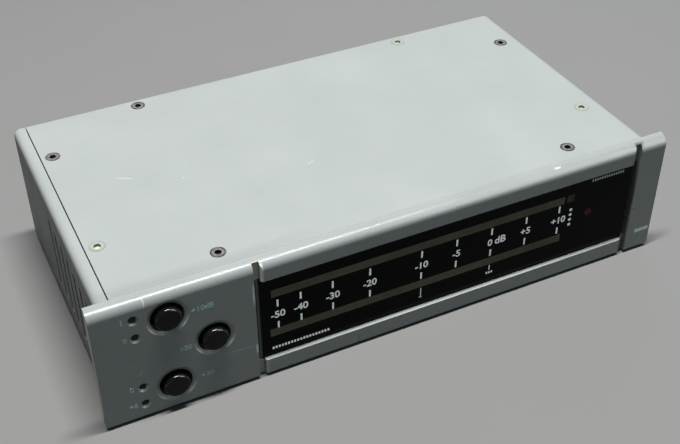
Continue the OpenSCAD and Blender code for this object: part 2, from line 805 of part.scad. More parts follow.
// The standoffs take a screw from below and a screw from the board, which don't meet
standoff_screw_len = shell_t + standoff_h / 2 - screw_meet_gap;

module standoff_screws() color("#222426") place()
    for (p = standoff_places) translate([p[0], p[1], 0]) rotate([180, 0, 0]) flat_screw(standoff_screw_len);

module board_standoffs() color("#c9b878") place()
    for (p = standoff_places) translate([p[0], p[1], shell_t]) difference() {
        hex(standoff_af, standoff_h);
        translate([0, 0, -over]) cylinder(h = standoff_h + 2 * over, d = tap_d);
    }

module main_board() color("#2f6b46") place() {
    difference() {
        block([main_left, main_y, main_bottom], [main_w, main_d, board_t]);
        for (p = standoff_places) translate([p[0], p[1], main_bottom - over])
            cylinder(h = board_t + 2 * over, d = clear_d);
    }
}

module board_screws() color("#b9bcbe") place()
    for (p = standoff_places) translate([p[0], p[1], main_top]) {
        difference() {
            cylinder(h = pan_head_h, d = pan_head_d);
            translate([0, 0, pan_head_h - socket_deep]) hex(socket_af, socket_deep + over);
        }
        shank = board_t + standoff_h / 2 - screw_meet_gap;
        translate([0, 0, -shank]) cylinder(h = shank + merge, d = screw_d);
    }

// Header that joins the main board to the front board
module link_header() place() {
    back = front_board_y + board_t;
    len = header_pins * header_pitch;
    x = case_mid - len / 2;
    end = main_y + header_on;
    color("#1c1d1f") block([x, back, main_top], [len, end - back, header_h]);
    color("#c9b878") for (i = [0:header_pins - 1])
        block([x + (i + 0.5) * header_pitch - header_pin / 2, end - merge, main_top],
              [header_pin, header_pin_out + merge, header_pin]);
}

// Parts on the main board are placed from its left end, and from its front or rear edge
module on_front(x, y) translate([main_left + x, main_y + y, main_top]) children();
module on_rear(x, y) translate([main_left + x, main_y + main_d - y, main_top]) children();

module input_transformers() color("#8c8f92") place()
    for (i = [0, 1]) on_rear(transformer_x + i * transformer_pitch, transformer_rear) {
        can_w = transformer_w - 2 * transformer_margin;
        cube([transformer_w, transformer_w, transformer_base]);
        translate([transformer_margin, transformer_margin, 0])
            linear_extrude(transformer_h) rounded(can_w, can_w, transformer_r);
    }

// One capacitor with its crimped top
module capacitor(d, h) {
    cylinder(h = h - crimp, d = d);
    cylinder(h = h, d = d - 2 * crimp_in);
}

module filter_capacitors() color("#23303f") place() {
    for (i = [0, 1])
        on_front(reservoir_x, capacitor_y + i * reservoir_pitch) capacitor(reservoir_d, reservoir_h);
    for (i = [0:2])
        on_front(coupling_x + i * coupling_pitch, capacitor_y) capacitor(coupling_d, coupling_h);
}

// A chip in two rows of legs
module chip() {
    translate([0, 0, chip_lift]) cube([chip_w, chip_len, chip_h]);
    for (x = [-leg_t, chip_w], k = [0:leg_count - 1])
        translate([x, leg_start + k * leg_pitch, 0]) cube([leg_t, leg_w, chip_lift + chip_h / 2]);
}

module ic_packages() color("#202224") place()
    for (i = [0:chip_count - 1]) on_front(chip_x + i * chip_pitch, chip_y) chip();

module trimmers() color("#2b5fa0") place()
    for (i = [0:trimmer_count - 1]) on_front(trimmer_x + i * trimmer_pitch, trimmer_y) {
        cube([trimmer_w, trimmer_len, trimmer_h]);
        translate([trimmer_w / 2, trimmer_screw_d, 0])
            cylinder(h = trimmer_h + trimmer_screw_out, d = trimmer_screw_d);
    }

// Two regulators stand against the web of the finned heat sink
module voltage_regulators() color("#222426") place()
    for (i = [0, 1]) on_rear(sink_x + regulator_x + i * regulator_pitch, sink_rear + regulator_t)
        cube([regulator_w, regulator_t, regulator_h]);

module heat_sink() color("#35383a") place() on_rear(sink_x, sink_rear) {
    cube([sink_w, sink_web, sink_h]);
    for (i = [0:fin_count - 1]) translate([i * fin_pitch, 0, 0]) cube([fin_t, sink_web + fin_len, sink_h]);
}

module connector_shell() color("#c4c7c9") place() {
    difference() {
        union() {
            block([connector_mid - d_flange_w / 2, d_flange_y, connector_z - d_flange_h / 2],
                  [d_flange_w, d_flange_t, d_flange_h]);
            along_y(web_inner - merge, d_out + merge) translate([connector_mid, connector_z]) d_outline(0);
        }
        along_y(d_flange_y - over, d_out + d_flange_t + 2 * over)
            translate([connector_mid, connector_z]) d_outline(-d_wall);
        for (x = jack_places)
            bar_y([x, connector_z], d_flange_y - over, d_flange_t + 2 * over, jack_clear_d);
    }
}

// Insulating body on the main board, and its contact face inside the shell
module connector_insert() color("#17181a") place() {
    face_y = web_inner + d_out - insert_recess;
    difference() {
        union() {
            block([connector_mid - d_w / 2, d_flange_y - insert_d, connector_z - d_flange_h / 2],
                  [d_w, insert_d, d_flange_h]);
            along_y(d_flange_y - merge, face_y - d_flange_y + merge)
                translate([connector_mid, connector_z]) d_outline(-d_wall - fit);
        }
        for (row = [0, 1], i = [0:contact_count - 1 - row]) {
            x = connector_mid + (i - (contact_count - 1 - row) / 2) * contact_pitch;
            z = connector_z + (0.5 - row) * contact_row;
            bar_y([x, z], face_y - contact_deep, contact_deep + over, contact_d);
        }
    }
}

module jackscrews() color("#cfd2d4") place()
    for (x = jack_places) translate([x, 0, connector_z]) {
        difference() {
            translate([0, case_d, 0]) rotate([-90, 0, 0]) hex(jack_af, jack_h);
            bar_y([0, 0], jack_end - jack_bore_depth, jack_bore_depth + over, jack_bore);
        }
        bar_y([0, 0], web_inner - jack_stud, rear_web + jack_stud + merge, jack_bore);
    }

front_panel();
display_window();
light_mask();
upper_bargraph();
lower_bargraph();
over_lamp();
front_board();
front_board_screw();
upper_button_cap();
middle_button_cap();
lower_button_cap();
upper_plunger();
middle_plunger();
lower_plunger();
upper_switch();
middle_switch();
lower_switch();
amber_indicator();
clear_indicators();
indicator_spacers();
upper_shell();
lower_shell();
rear_panel();
shell_pillars();
black_cover_screws();
bright_cover_screws();
base_screws();
standoff_screws();
main_board();
board_standoffs();
board_screws();
link_header();
input_transformers();
filter_capacitors();
ic_packages();
trimmers();
voltage_regulators();
heat_sink();
connector_shell();
connector_insert();
jackscrews();
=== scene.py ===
"""Looks of a two-channel LED peak meter: finishes for its pieces, its front's printing, and the studio."""
import logging
import math
from dataclasses import dataclass, field
from enum import Enum
from typing import Union

import bmesh
import bpy
from mathutils import Euler, Matrix, Vector


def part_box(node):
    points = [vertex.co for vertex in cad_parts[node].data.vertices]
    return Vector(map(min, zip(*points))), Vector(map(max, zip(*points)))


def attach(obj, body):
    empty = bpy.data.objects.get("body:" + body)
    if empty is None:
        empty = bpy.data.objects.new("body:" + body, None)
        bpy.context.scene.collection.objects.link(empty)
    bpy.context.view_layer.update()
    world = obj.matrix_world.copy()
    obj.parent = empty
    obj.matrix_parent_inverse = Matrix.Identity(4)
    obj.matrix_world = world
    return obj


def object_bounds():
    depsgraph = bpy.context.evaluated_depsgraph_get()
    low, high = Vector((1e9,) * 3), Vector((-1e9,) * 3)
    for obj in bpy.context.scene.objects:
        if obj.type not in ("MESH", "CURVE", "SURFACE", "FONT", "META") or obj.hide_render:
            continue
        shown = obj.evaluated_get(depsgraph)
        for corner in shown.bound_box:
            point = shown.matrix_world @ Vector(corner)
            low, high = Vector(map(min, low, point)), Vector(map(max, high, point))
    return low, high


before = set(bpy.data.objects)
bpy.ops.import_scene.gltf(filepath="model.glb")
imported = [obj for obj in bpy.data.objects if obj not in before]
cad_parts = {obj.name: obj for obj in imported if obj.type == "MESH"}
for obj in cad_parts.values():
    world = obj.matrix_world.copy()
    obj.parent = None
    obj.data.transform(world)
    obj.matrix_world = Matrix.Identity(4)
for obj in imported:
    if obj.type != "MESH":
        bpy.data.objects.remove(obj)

CAD_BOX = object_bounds()
PANEL_LOW, PANEL_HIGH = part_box("front_panel")
CASE_BODY = "case"
MM = 0.001
LOG = logging.getLogger("peak_meter")

Socket = bpy.types.NodeSocket
Pair = tuple[float, float]
Triple = tuple[float, float, float]
Colour = tuple[float, float, float, float]
Value = Union[float, Triple, Colour, Socket]
Feeds = dict[Union[str, int], Value]
# Stroke in millimetres on the panel: x and z of its middle, width and height
Stroke = tuple[float, float, float, float]
# Row of dashes in millimetres on the panel: x and z of its middle, length, height and step
Row = tuple[float, float, float, float, float]
# Word in millimetres on the panel: its text, x and z of its middle, and height
Word = tuple[str, float, float, float]

# Bare aluminium, also the colour of painted highlights
BARE_AND_LIT: Colour = (0.4, 0.42, 0.41, 1.0)
# Spans of a noise's values that become soft and firmer clouds
SOFT: Pair = (0.3, 0.7)
FIRM: Pair = (0.35, 0.65)
# Sockets of the Mix node for colours, whose names are not unique, and of the Map Range node
MIX_SHARE, MIX_FIRST, MIX_SECOND, MIX_RESULT = 0, 6, 7, 2
SPAN_INPUTS = ("Value", "From Min", "From Max", "To Min", "To Max")
# Vector operations that give a number
NUMBER_OPERATIONS = ("DOT_PRODUCT", "DISTANCE", "LENGTH")


def grey(level: float, warm: float = 0.0) -> Colour:
    """Gives a grey in linear light, with red raised and blue lowered by a warm share."""
    return (level * (1 + warm), level, level * (1 - warm), 1.0)


class Align(Enum):
    """How a printed word lies about its place."""

    LEFT = "LEFT"
    CENTER = "CENTER"


class Part(Enum):
    """Which part of the shading a light gives."""

    DIFFUSE = "diffuse"
    GLOSS = "gloss"


class Graph:
    """Node tree of one material, with short calls for the nodes that finishes share. Lengths are metres."""

    def __init__(self, name: str) -> None:
        """Starts a material.

        Args:
            name: Name of the material.
        """
        self.material = bpy.data.materials.new(name)
        self.material.use_nodes = True
        self.tree = self.material.node_tree
        self.shader = self.tree.nodes["Principled BSDF"]
        self.place = self.add("ShaderNodeTexCoord").outputs["Object"]

    def feed(self, socket: Socket, value: Value) -> None:
        """Links a socket to another one, or sets its constant.

        Args:
            socket: Input to feed.
            value: Output socket or constant.
        """
        if isinstance(value, Socket):
            self.tree.links.new(value, socket)
        else:
            socket.default_value = value

    def add(self, kind: str, feeds: Feeds | None = None, **settings: object) -> bpy.types.Node:
        """Adds a node.

        Args:
            kind: Blender's name of the node type.
            feeds: Values for the node's inputs.
            **settings: Properties of the node.

        Returns:
            The node.
        """
        node = self.tree.nodes.new(kind)
        for key, value in settings.items():
            setattr(node, key, value)
        for key, value in (feeds or {}).items():
            self.feed(node.inputs[key], value)
        return node

    def set(self, **sockets: Value) -> None:
        """Feeds inputs of the main shader, named with underscores for spaces."""
        for key, value in sockets.items():
            self.feed(self.shader.inputs[key.replace("_", " ")], value)

    def noise(self, size: float, detail: float, place: Socket | None = None) -> Socket:
        """Adds noise with features of a size, on the piece's own or other coordinates."""
        feeds = {"Vector": place or self.place, "Scale": 1 / size, "Detail": detail}
        return self.add("ShaderNodeTexNoise", feeds).outputs[0]

    def stretch(self, scale: Triple, turn: Triple = (0, 0, 0)) -> Socket:
        """Gives the piece's coordinates, turned in radians and stretched along each axis."""
        feeds = {"Vector": self.place, "Scale": scale, "Rotation": turn}
        return self.add("ShaderNodeMapping", feeds).outputs[0]

    def span(self, value: Value, inputs: Pair, results: Pair = (0.0, 1.0)) -> Socket:
        """Maps a value between the inputs to one between the results, and clamps it."""
        feeds = dict(zip(SPAN_INPUTS, (value, *inputs, *results)))
        return self.add("ShaderNodeMapRange", feeds).outputs[0]

    def clouds(self, size: float, detail: float, inputs: Pair, results: Pair = (0.0, 1.0)) -> Socket:
        """Adds noise whose values between the inputs are mapped to ones between the results."""
        return self.span(self.noise(size, detail), inputs, results)

    def maths(self, operation: str, first: Value, second: Value = 0.0) -> Socket:
        """Works out a number from one or two others, by Blender's name of the operation."""
        return self.add("ShaderNodeMath", {0: first, 1: second}, operation=operation).outputs[0]

    def vector(self, operation: str, *values: Value) -> Socket:
        """Works out a vector, or the number that the operation gives, from other vectors."""
        node = self.add("ShaderNodeVectorMath", dict(enumerate(values)), operation=operation)
        return node.outputs["Value" if operation in NUMBER_OPERATIONS else "Vector"]

    def axes(self, vector: Value) -> tuple[Socket, ...]:
        """Splits a vector into its X, Y and Z."""
        return tuple(self.add("ShaderNodeSeparateXYZ", {0: vector}).outputs)

    def mix(self, share: Value, first: Value, second: Value) -> Socket:
        """Mixes two colours by the share of the second one."""
        feeds = {MIX_SHARE: share, MIX_FIRST: first, MIX_SECOND: second}
        return self.add("ShaderNodeMix", feeds, data_type="RGBA").outputs[MIX_RESULT]

    def normal(self) -> Socket:
        """Gives the surface's normal."""
        return self.add("ShaderNodeNewGeometry").outputs["Normal"]

    def round_edges(self, radius: float) -> Socket:
        """Gives normals that run softly over the piece's edges."""
        return self.add("ShaderNodeBevel", {"Radius": radius}, samples=4).outputs[0]

    def edge(self, width: float, alike: Pair = (0.98, 0.75)) -> Socket:
        """Marks the strip along sharp edges, where the rounded normal is less like the surface's own."""
        likeness = self.vector("DOT_PRODUCT", self.normal(), self.round_edges(width))
        return self.span(likeness, alike)

    def shelter(self, reach: float, sky: Pair = (0.9, 0.25)) -> Socket:
        """Marks corners and grooves, where walls within reach leave less open sky."""
        open_sky = self.add("ShaderNodeAmbientOcclusion", {"Distance": reach}, samples=6).outputs["AO"]
        return self.span(open_sky, sky)

    def ragged(self, size: float = 1.5 * MM, reach: float = 0.5 * MM) -> Socket:
        """Disturbs the piece's coordinates, for marks with ragged edges.

        Args:
            size: Size of the unevenness.
            reach: How far a point moves.

        Returns:
            The new coordinates.
        """
        feeds = {"Vector": self.place, "Scale": 1 / size, "Detail": 2.0}
        jitter = self.add("ShaderNodeTexNoise", feeds).outputs["Color"]
        centred = self.vector("SUBTRACT", jitter, (0.5, 0.5, 0.5))
        return self.vector("MULTIPLY_ADD", centred, (reach, reach, reach), self.place)

    def bump(self, height: Value, depth: float, normal: Socket | None = None) -> Socket:
        """Roughens the surface, or a normal, by a height whose 1 stands for a depth."""
        start = {"Normal": normal} if normal else {}
        return self.add("ShaderNodeBump", {"Height": height, "Distance": depth, **start}).outputs[0]


@dataclass(frozen=True)
class Scratch:
    """A scratch, chip, darker strip, painted highlight or painted shade in the paint, as a thin box about
    its middle.

    Attributes:
        middle: Place of its middle, in metres.
        size: Sides along X, Y and Z before the turn, in millimetres.
        bright: How strongly the mark's colour covers the paint, from 0 to 1.
        turn: Turn about the X, Y and Z axes, in degrees.
        colour: Colour of the mark.
        fade: Shares of its half size where it ends and where it is full.
    """

    middle: Vector
    size: Triple
    bright: float
    turn: Triple = (0.0, 0.0, 0.0)
    colour: Colour = BARE_AND_LIT
    fade: Pair = (1.0, 0.4)

    def mask(self, graph: Graph) -> Socket:
        """Adds the scratch's mask to a material's node tree, and gives it."""
        turn = tuple(math.radians(angle) for angle in self.turn)
        half = tuple(side * MM / 2 for side in self.size)
        feeds = {"Vector": graph.ragged(), "Location": tuple(self.middle), "Rotation": turn, "Scale": half}
        local = graph.add("ShaderNodeMapping", feeds, vector_type="TEXTURE").outputs[0]
        across, back, up = graph.axes(graph.vector("ABSOLUTE", local))
        far = graph.maths("MAXIMUM", graph.maths("MAXIMUM", across, back), up)
        return graph.span(far, self.fade, (0.0, self.bright))


@dataclass(frozen=True)
class BareAndLitHole:
    """A hole along Y with a countersink that is bare and lighter on the lower side, as worn paint and
    painted light. Lengths are metres.

    Attributes:
        middle: Middle of the hole on the panel's face.
        radius, depth: Outer radius and depth of the countersink.
        bright: How bare and lit the lower side is, from 0 to 1.
        colour: Colour of the bare, lit side.
        rim_blur, foot_blur: Softness of the outer edge, to each side, and of the inner end.
        side_blur: Share of the radius over which the bare, lit side fades.
    """

    middle: Vector
    radius: float
    depth: float
    bright: float
    colour: Colour = BARE_AND_LIT
    rim_blur: float = 0.05 * MM
    foot_blur: float = 0.2 * MM
    side_blur: float = 0.25

    def mask(self, graph: Graph) -> Socket:
        """Adds the hole's mask to a material's node tree, and gives it."""
        away = graph.vector("SUBTRACT", graph.place, tuple(self.middle))
        _, depth, height = graph.axes(away)
        far = graph.vector("LENGTH", graph.vector("MULTIPLY", away, (1, 0, 1)))
        rim = (self.radius + self.rim_blur, self.radius - self.rim_blur)
        inside = graph.span(far, rim, (0.0, self.bright))
        shallow = graph.span(depth, (self.depth + self.foot_blur, self.depth))
        side = self.side_blur * self.radius
        # Painted light: only the lower side, where the light falls into the hole, is made lighter.
        lower = graph.span(height, (side, -side))
        return graph.maths("MULTIPLY", inside, graph.maths("MULTIPLY", shallow, lower))


@dataclass(frozen=True)
class Finish:
    """A surface finish that becomes a material. Its lengths are metres.

    In every kind of finish, roughness and specular are the shader's, grain and depth are the size and depth
    of the fine unevenness, rounding is the radius that edges seem to have, strip is the width that is rubbed
    along them, and corner is how far a wall shelters soiling and painted shade in paint, and tarnish in
    metal.
    """

    def build(self, name: str) -> bpy.types.Material:
        """Makes the material.

        Args:
            name: Name of the material.

        Returns:
            The material.
        """
        graph = Graph(name)
        self.paint(graph)
        return graph.material

    def paint(self, graph: Graph) -> None:
        """Adds the finish's nodes, in each kind of finish its own.

        Args:
            graph: Node tree of the new material.
        """
        raise NotImplementedError


@dataclass(frozen=True)
class PaintFinish(Finish):
    """Satin stoved paint on aluminium, with a fine orange peel, rubbed edges, and corners darkened by
    soiling and painted shade.

    Attributes:
        colour, shade: Colours of clean paint and of slightly duller clouds.
        worn, dirt_and_shade: Colours of rubbed edges, and of the corners' soiling and painted shade.
        marks: Scratches, bare places, painted highlights and painted shade.
    """

    colour: Colour = (0.098, 0.105, 0.103, 1.0)
    shade: Colour = (0.092, 0.099, 0.097, 1.0)
    worn: Colour = BARE_AND_LIT
    dirt_and_shade: Colour = (0.014, 0.014, 0.01, 1.0)
    roughness: float = 0.36
    specular: float = 0.5
    grain: float = 0.9 * MM
    depth: float = 0.003 * MM
    rounding: float = 0.25 * MM
    strip: float = 0.35 * MM
    corner: float = 0.8 * MM
    marks: tuple[Union[Scratch, BareAndLitHole], ...] = ()

    def paint(self, graph: Graph) -> None:
        """Adds the paint's nodes."""
        colour = graph.mix(graph.clouds(28 * MM, 3, FIRM), self.shade, self.colour)
        # Soiling and painted shade: corners and grooves found by ambient occlusion are darkened in patches.
        dusty = graph.clouds(5 * MM, 2, (0.35, 0.7), (0.0, 0.2))
        colour = graph.mix(graph.maths("MULTIPLY", graph.shelter(self.corner), dusty), colour, self.dirt_and_shade)
        chipped = graph.clouds(2.2 * MM, 4, (0.6, 0.72), (0.0, 0.3))
        colour = graph.mix(graph.maths("MULTIPLY", graph.edge(self.strip), chipped), colour, self.worn)
        for mark in self.marks:
            colour = graph.mix(mark.mask(graph), colour, mark.colour)
        gloss = graph.clouds(9 * MM, 4, SOFT, (self.roughness - 0.04, self.roughness + 0.05))
        peel = graph.bump(graph.noise(self.grain, 1.5), self.depth, graph.round_edges(self.rounding))
        graph.set(Base_Color=colour, Roughness=gloss, Normal=peel, Specular_IOR_Level=self.specular)


@dataclass(frozen=True)
class LensFinish(Finish):
    """Polished smoked acrylic with hairline scratches, a little dust, and painted highlights on its
    chamfered ends.

    Attributes:
        middle, half: X of the sheet's middle, and half the length of its polished face.
        colour, dust: Colours of the dark sheet and of the dust.
        highlight_bands: Lighter strips of painted highlight on the sawn ends beside the face: distance from
            it, and colour.
        band_blur: Width over which a band comes in.
        dust_pitch: Step between specks of dust.
        hair_turn: Slope of the hairline scratches in degrees.
    """

    middle: float
    half: float
    colour: Colour = (0.001, 0.0012, 0.0011, 1.0)
    dust: Colour = (0.02, 0.02, 0.02, 1.0)
    roughness: float = 0.07
    specular: float = 0.04
    rounding: float = 0.2 * MM
    highlight_bands: tuple[tuple[float, Colour], ...] = (
        (0.0, (0.055, 0.055, 0.05, 1.0)),
        (0.25 * MM, (0.13, 0.128, 0.112, 1.0)),
        (0.6 * MM, (0.03, 0.03, 0.027, 1.0)))
    band_blur: float = 0.1 * MM
    dust_pitch: float = 2.4 * MM
    hair_turn: float = 14.0

    def paint(self, graph: Graph) -> None:
        """Adds the acrylic's nodes."""
        feeds = {"Vector": graph.place, "Scale": 1 / self.dust_pitch}
        cells = graph.add("ShaderNodeTexVoronoi", feeds).outputs["Distance"]
        dusty = graph.clouds(8 * MM, 2, (0.55, 0.7), (0.0, 0.4))
        specks = graph.maths("MULTIPLY", graph.span(cells, (0.09, 0.03)), dusty)
        colour = graph.mix(specks, self.colour, self.dust)
        out = graph.maths("ABSOLUTE", graph.maths("SUBTRACT", graph.axes(graph.place)[0], self.middle))
        # Painted highlight: the chamfered ends beside the polished face are made lighter, strip by strip.
        for distance, band in self.highlight_bands:
            start = self.half + distance
            colour = graph.mix(graph.span(out, (start, start + self.band_blur)), colour, band)
        along = graph.stretch((0.06, 1, 1), (0, math.radians(self.hair_turn), 0))
        hairs = graph.noise(1.2 * MM, 3, along)
        gloss = graph.span(hairs, (0.45, 0.75), (self.roughness, self.roughness + 0.16))
        normal = graph.round_edges(self.rounding)
        graph.set(Base_Color=colour, Roughness=gloss, Normal=normal, Specular_IOR_Level=self.specular)


@dataclass(frozen=True)
class PlasticFinish(Finish):
    """Moulded plastic with a fine grain, rubbed along its edges.

    Attributes:
        colour, rubbed: Colours of the plastic and of its rubbed edges.
        polish: Shine of the edges that face up, where fingers rub.
    """

    colour: Colour
    rubbed: Colour
    roughness: float = 0.42
    specular: float = 0.5
    polish: float = 0.0
    grain: float = 0.18 * MM
    depth: float = 0.006 * MM
    rounding: float = 0.12 * MM
    strip: float = 0.3 * MM

    def paint(self, graph: Graph) -> None:
        """Adds the plastic's nodes."""
        faded = graph.clouds(3 * MM, 3, (0.3, 0.75), (0.0, 0.3))
        wear = graph.maths("MULTIPLY", graph.edge(self.strip), graph.clouds(0.8 * MM, 3, (0.45, 0.7)))
        colour = graph.mix(graph.maths("MAXIMUM", faded, wear), self.colour, self.rubbed)
        gloss = graph.clouds(1.6 * MM, 3, SOFT, (self.roughness - 0.06, self.roughness + 0.06))
        grain = graph.bump(graph.noise(self.grain, 2), self.depth, graph.round_edges(self.rounding))
        graph.set(Base_Color=colour, Roughness=gloss, Normal=grain, Specular_IOR_Level=self.specular)
        if self.polish > 0:
            up = graph.axes(graph.normal())[2]
            graph.set(Coat_Weight=graph.span(up, (0.1, 0.4), (0.0, self.polish)), Coat_Roughness=0.12)


@dataclass(frozen=True)
class MetalFinish(Finish):
    """Turned, plated or drawn metal with tool marks and a thin tarnish.

    Attributes:
        colour, tarnish: Colours of clean metal and of the tarnish.
        metallic: Share of metal in the shading.
        marks: Stretch of the tool marks along each axis.
    """

    colour: Colour
    tarnish: Colour
    metallic: float = 1.0
    roughness: float = 0.32
    marks: Triple = (1.0, 1.0, 0.12)
    grain: float = 0.35 * MM
    depth: float = 0.004 * MM
    rounding: float = 0.1 * MM
    corner: float = 0.8 * MM

    def paint(self, graph: Graph) -> None:
        """Adds the metal's nodes."""
        marks = graph.noise(self.grain, 3, graph.stretch(self.marks))
        stain = graph.maths("MAXIMUM", graph.clouds(1.4 * MM, 4, (0.45, 0.75)), graph.shelter(self.corner))
        colour = graph.mix(stain, self.colour, self.tarnish)
        gloss = graph.span(marks, SOFT, (self.roughness - 0.08, self.roughness + 0.12))
        normal = graph.bump(marks, self.depth, graph.round_edges(self.rounding))
        graph.set(Base_Color=colour, Roughness=gloss, Normal=normal, Metallic=self.metallic)


@dataclass(frozen=True)
class ScrewFinish(Finish):
    """Countersunk screw head: a rubbed flat, a rim with painted shade, and a socket whose wall and floor
    carry painted shade and painted highlight.

    Attributes:
        colour, rim, wall, floor: Colours of the flat, of the rim's painted shade, and of the socket's wall
            and floor, painted as shade and highlight.
        heads: Middle of each head's flat.
        rim_from: Distances from a head's middle where the rim starts and is full.
        wall_from, floor_from: Depths under the flat where the wall and the floor start and are full.
    """

    colour: Colour
    rim: Colour
    wall: Colour
    floor: Colour
    heads: tuple[Vector, ...]
    rim_from: Pair = (1.55 * MM, 1.95 * MM)
    wall_from: Pair = (0.05 * MM, 0.15 * MM)
    floor_from: Pair = (0.5 * MM, 0.9 * MM)
    roughness: float = 0.36
    specular: float = 0.1
    grain: float = 0.25 * MM
    depth: float = 0.002 * MM
    rounding: float = 0.1 * MM

    def paint(self, graph: Graph) -> None:
        """Adds the screw's nodes."""
        flat = graph.vector("MULTIPLY", graph.place, (1, 1, 0))
        far: Value = 1.0
        for head in self.heads:
            far = graph.maths("MINIMUM", far, graph.vector("DISTANCE", flat, (head.x, head.y, 0)))
        # Painted shade: the outer rim of each head is darkened, in clouds.
        dark = graph.clouds(0.9 * MM, 2, (0.35, 0.6), (0.45, 1.0))
        rubbed = graph.clouds(0.6 * MM, 3, (0.4, 0.65), (0.0, 0.6))
        rim = graph.maths("MULTIPLY", graph.span(far, self.rim_from), dark)
        colour = graph.mix(graph.maths("MAXIMUM", rubbed, rim), self.colour, self.rim)
        under = graph.maths("SUBTRACT", self.heads[0].z, graph.axes(graph.place)[2])
        # The socket's wall and floor take their own colours by depth under the flat: painted shade, and in
        # bright screws a painted highlight on the floor.
        colour = graph.mix(graph.span(under, self.wall_from), colour, self.wall)
        colour = graph.mix(graph.span(under, self.floor_from), colour, self.floor)
        gloss = graph.clouds(0.3 * MM, 3, SOFT, (self.roughness - 0.06, self.roughness + 0.1))
        normal = graph.bump(graph.noise(self.grain, 2), self.depth, graph.round_edges(self.rounding))
        graph.set(Base_Color=colour, Roughness=gloss, Normal=normal, Specular_IOR_Level=self.specular)


@dataclass(frozen=True)
class BoardFinish(Finish):
    """Glass-fibre board under a green mask, with tracks and tinned pads.

    Attributes:
        mask, track, pad: Colours of the bare mask, of the mask over copper, and of tinned pads.
        pitch: Grid of the tracks.
    """

    mask: Colour = (0.012, 0.085, 0.036, 1.0)
    track: Colour = (0.03, 0.16, 0.06, 1.0)
    pad: Colour = (0.55, 0.55, 0.52, 1.0)
    pitch: float = 2.54 * MM
    grain: float = 0.4 * MM
    depth: float = 0.02 * MM

    def paint(self, graph: Graph) -> None:
        """Adds the board's nodes."""
        feeds = {"Vector": graph.place, "Scale": 1 / self.pitch}
        bricks = graph.add("ShaderNodeTexVoronoi", feeds, distance="MANHATTAN", feature="DISTANCE_TO_EDGE")
        cells = graph.add("ShaderNodeTexVoronoi", feeds, distance="CHEBYCHEV")
        tracks = graph.span(bricks.outputs["Distance"], (0.16, 0.1))
        pads = graph.span(cells.outputs["Distance"], (0.2, 0.15))
        colour = graph.mix(pads, graph.mix(tracks, self.mask, self.track), self.pad)
        weave = graph.noise(self.grain, 1, graph.stretch((1, 1, 0.2)))
        height = graph.maths("ADD", tracks, graph.maths("MULTIPLY", weave, 0.3))
        gloss = graph.span(weave, SOFT, (0.3, 0.45))
        graph.set(Base_Color=colour, Roughness=gloss, Normal=graph.bump(height, self.depth))


@dataclass(frozen=True)
class LampFinish(Finish):
    """Cast lamp body, unlit, with a cloudy core and a clear skin.

    Attributes:
        colour, core: Colours of the cast resin and of the cloud inside.
        coat, coat_roughness: Strength and roughness of the skin.
    """

    colour: Colour
    core: Colour
    roughness: float = 0.18
    grain: float = 0.9 * MM
    depth: float = 0.01 * MM
    coat: float = 0.5
    coat_roughness: float = 0.08

    def paint(self, graph: Graph) -> None:
        """Adds the lamp's nodes."""
        cloud = graph.clouds(self.grain, 3, FIRM)
        colour = graph.mix(cloud, self.colour, self.core)
        gloss = graph.clouds(0.5 * MM, 2, SOFT, (self.roughness, self.roughness + 0.1))
        graph.set(Base_Color=colour, Roughness=gloss, Normal=graph.bump(cloud, self.depth))
        graph.set(Coat_Weight=self.coat, Coat_Roughness=self.coat_roughness)


@dataclass(frozen=True)
class SegmentFinish(Finish):
    """Unlit light segments seen through smoked acrylic, each a little different.

    Attributes:
        colour, dim: Colours of a clear and of a dull segment.
        pitch: Step from segment to segment.
    """

    colour: Colour
    dim: Colour
    pitch: float = 1.0 * MM
    specular: float = 0.04

    def paint(self, graph: Graph) -> None:
        """Adds the segments' nodes."""
        wide = graph.noise(9 * MM, 3, graph.stretch((1, 0.1, 0.4)))
        single = graph.noise(self.pitch, 1, graph.stretch((1, 0.01, 0.01)))
        share = graph.maths("ADD", graph.span(wide, FIRM, (0.0, 0.8)), graph.span(single, FIRM, (0.0, 0.2)))
        colour = graph.mix(share, self.dim, self.colour)
        gloss = graph.clouds(1.2 * MM, 3, (0.4, 0.75), (0.08, 0.2))
        graph.set(Base_Color=colour, Roughness=gloss, Specular_IOR_Level=self.specular)


@dataclass(frozen=True)
class InkFinish(Finish):
    """Screen-printed ink, slightly uneven.

    Attributes:
        colour, thin: Colours of full and of thin ink.
    """

    colour: Colour
    thin: Colour
    roughness: float = 0.55
    specular: float = 0.3
    grain: float = 0.12 * MM
    depth: float = 0.0005 * MM

    def paint(self, graph: Graph) -> None:
        """Adds the ink's nodes."""
        worn = graph.clouds(0.5 * MM, 3, (0.45, 0.75))
        colour = graph.mix(worn, self.colour, self.thin)
        gloss = graph.span(worn, (0.0, 1.0), (self.roughness, self.roughness + 0.15))
        normal = graph.bump(graph.noise(self.grain, 2), self.depth)
        graph.set(Base_Color=colour, Roughness=gloss, Normal=normal, Specular_IOR_Level=self.specular)


@dataclass(frozen=True)
class CardFinish(Finish):
    """Matt card of the floor, with faint clouds.

    Attributes:
        colour, cloud: Colours of the card and of the clouds.
    """

    colour: Colour = (0.0625, 0.0625, 0.061, 1.0)
    cloud: Colour = grey(0.069)
    roughness: float = 0.9
    specular: float = 0.1

    def paint(self, graph: Graph) -> None:
        """Adds the card's nodes."""
        colour = graph.mix(graph.clouds(50 * MM, 3, SOFT, (0.0, 0.12)), self.colour, self.cloud)
        graph.set(Base_Color=colour, Roughness=self.roughness, Specular_IOR_Level=self.specular)


def put(name: str, data: bpy.types.ID) -> bpy.types.Object:
    """Puts a new object into the scene.

    Args:
        name: Name of the object.
        data: Its mesh, curve, light or camera.

    Returns:
        The object.
    """
    thing = bpy.data.objects.new(name, data)
    bpy.context.scene.collection.objects.link(thing)
    return thing


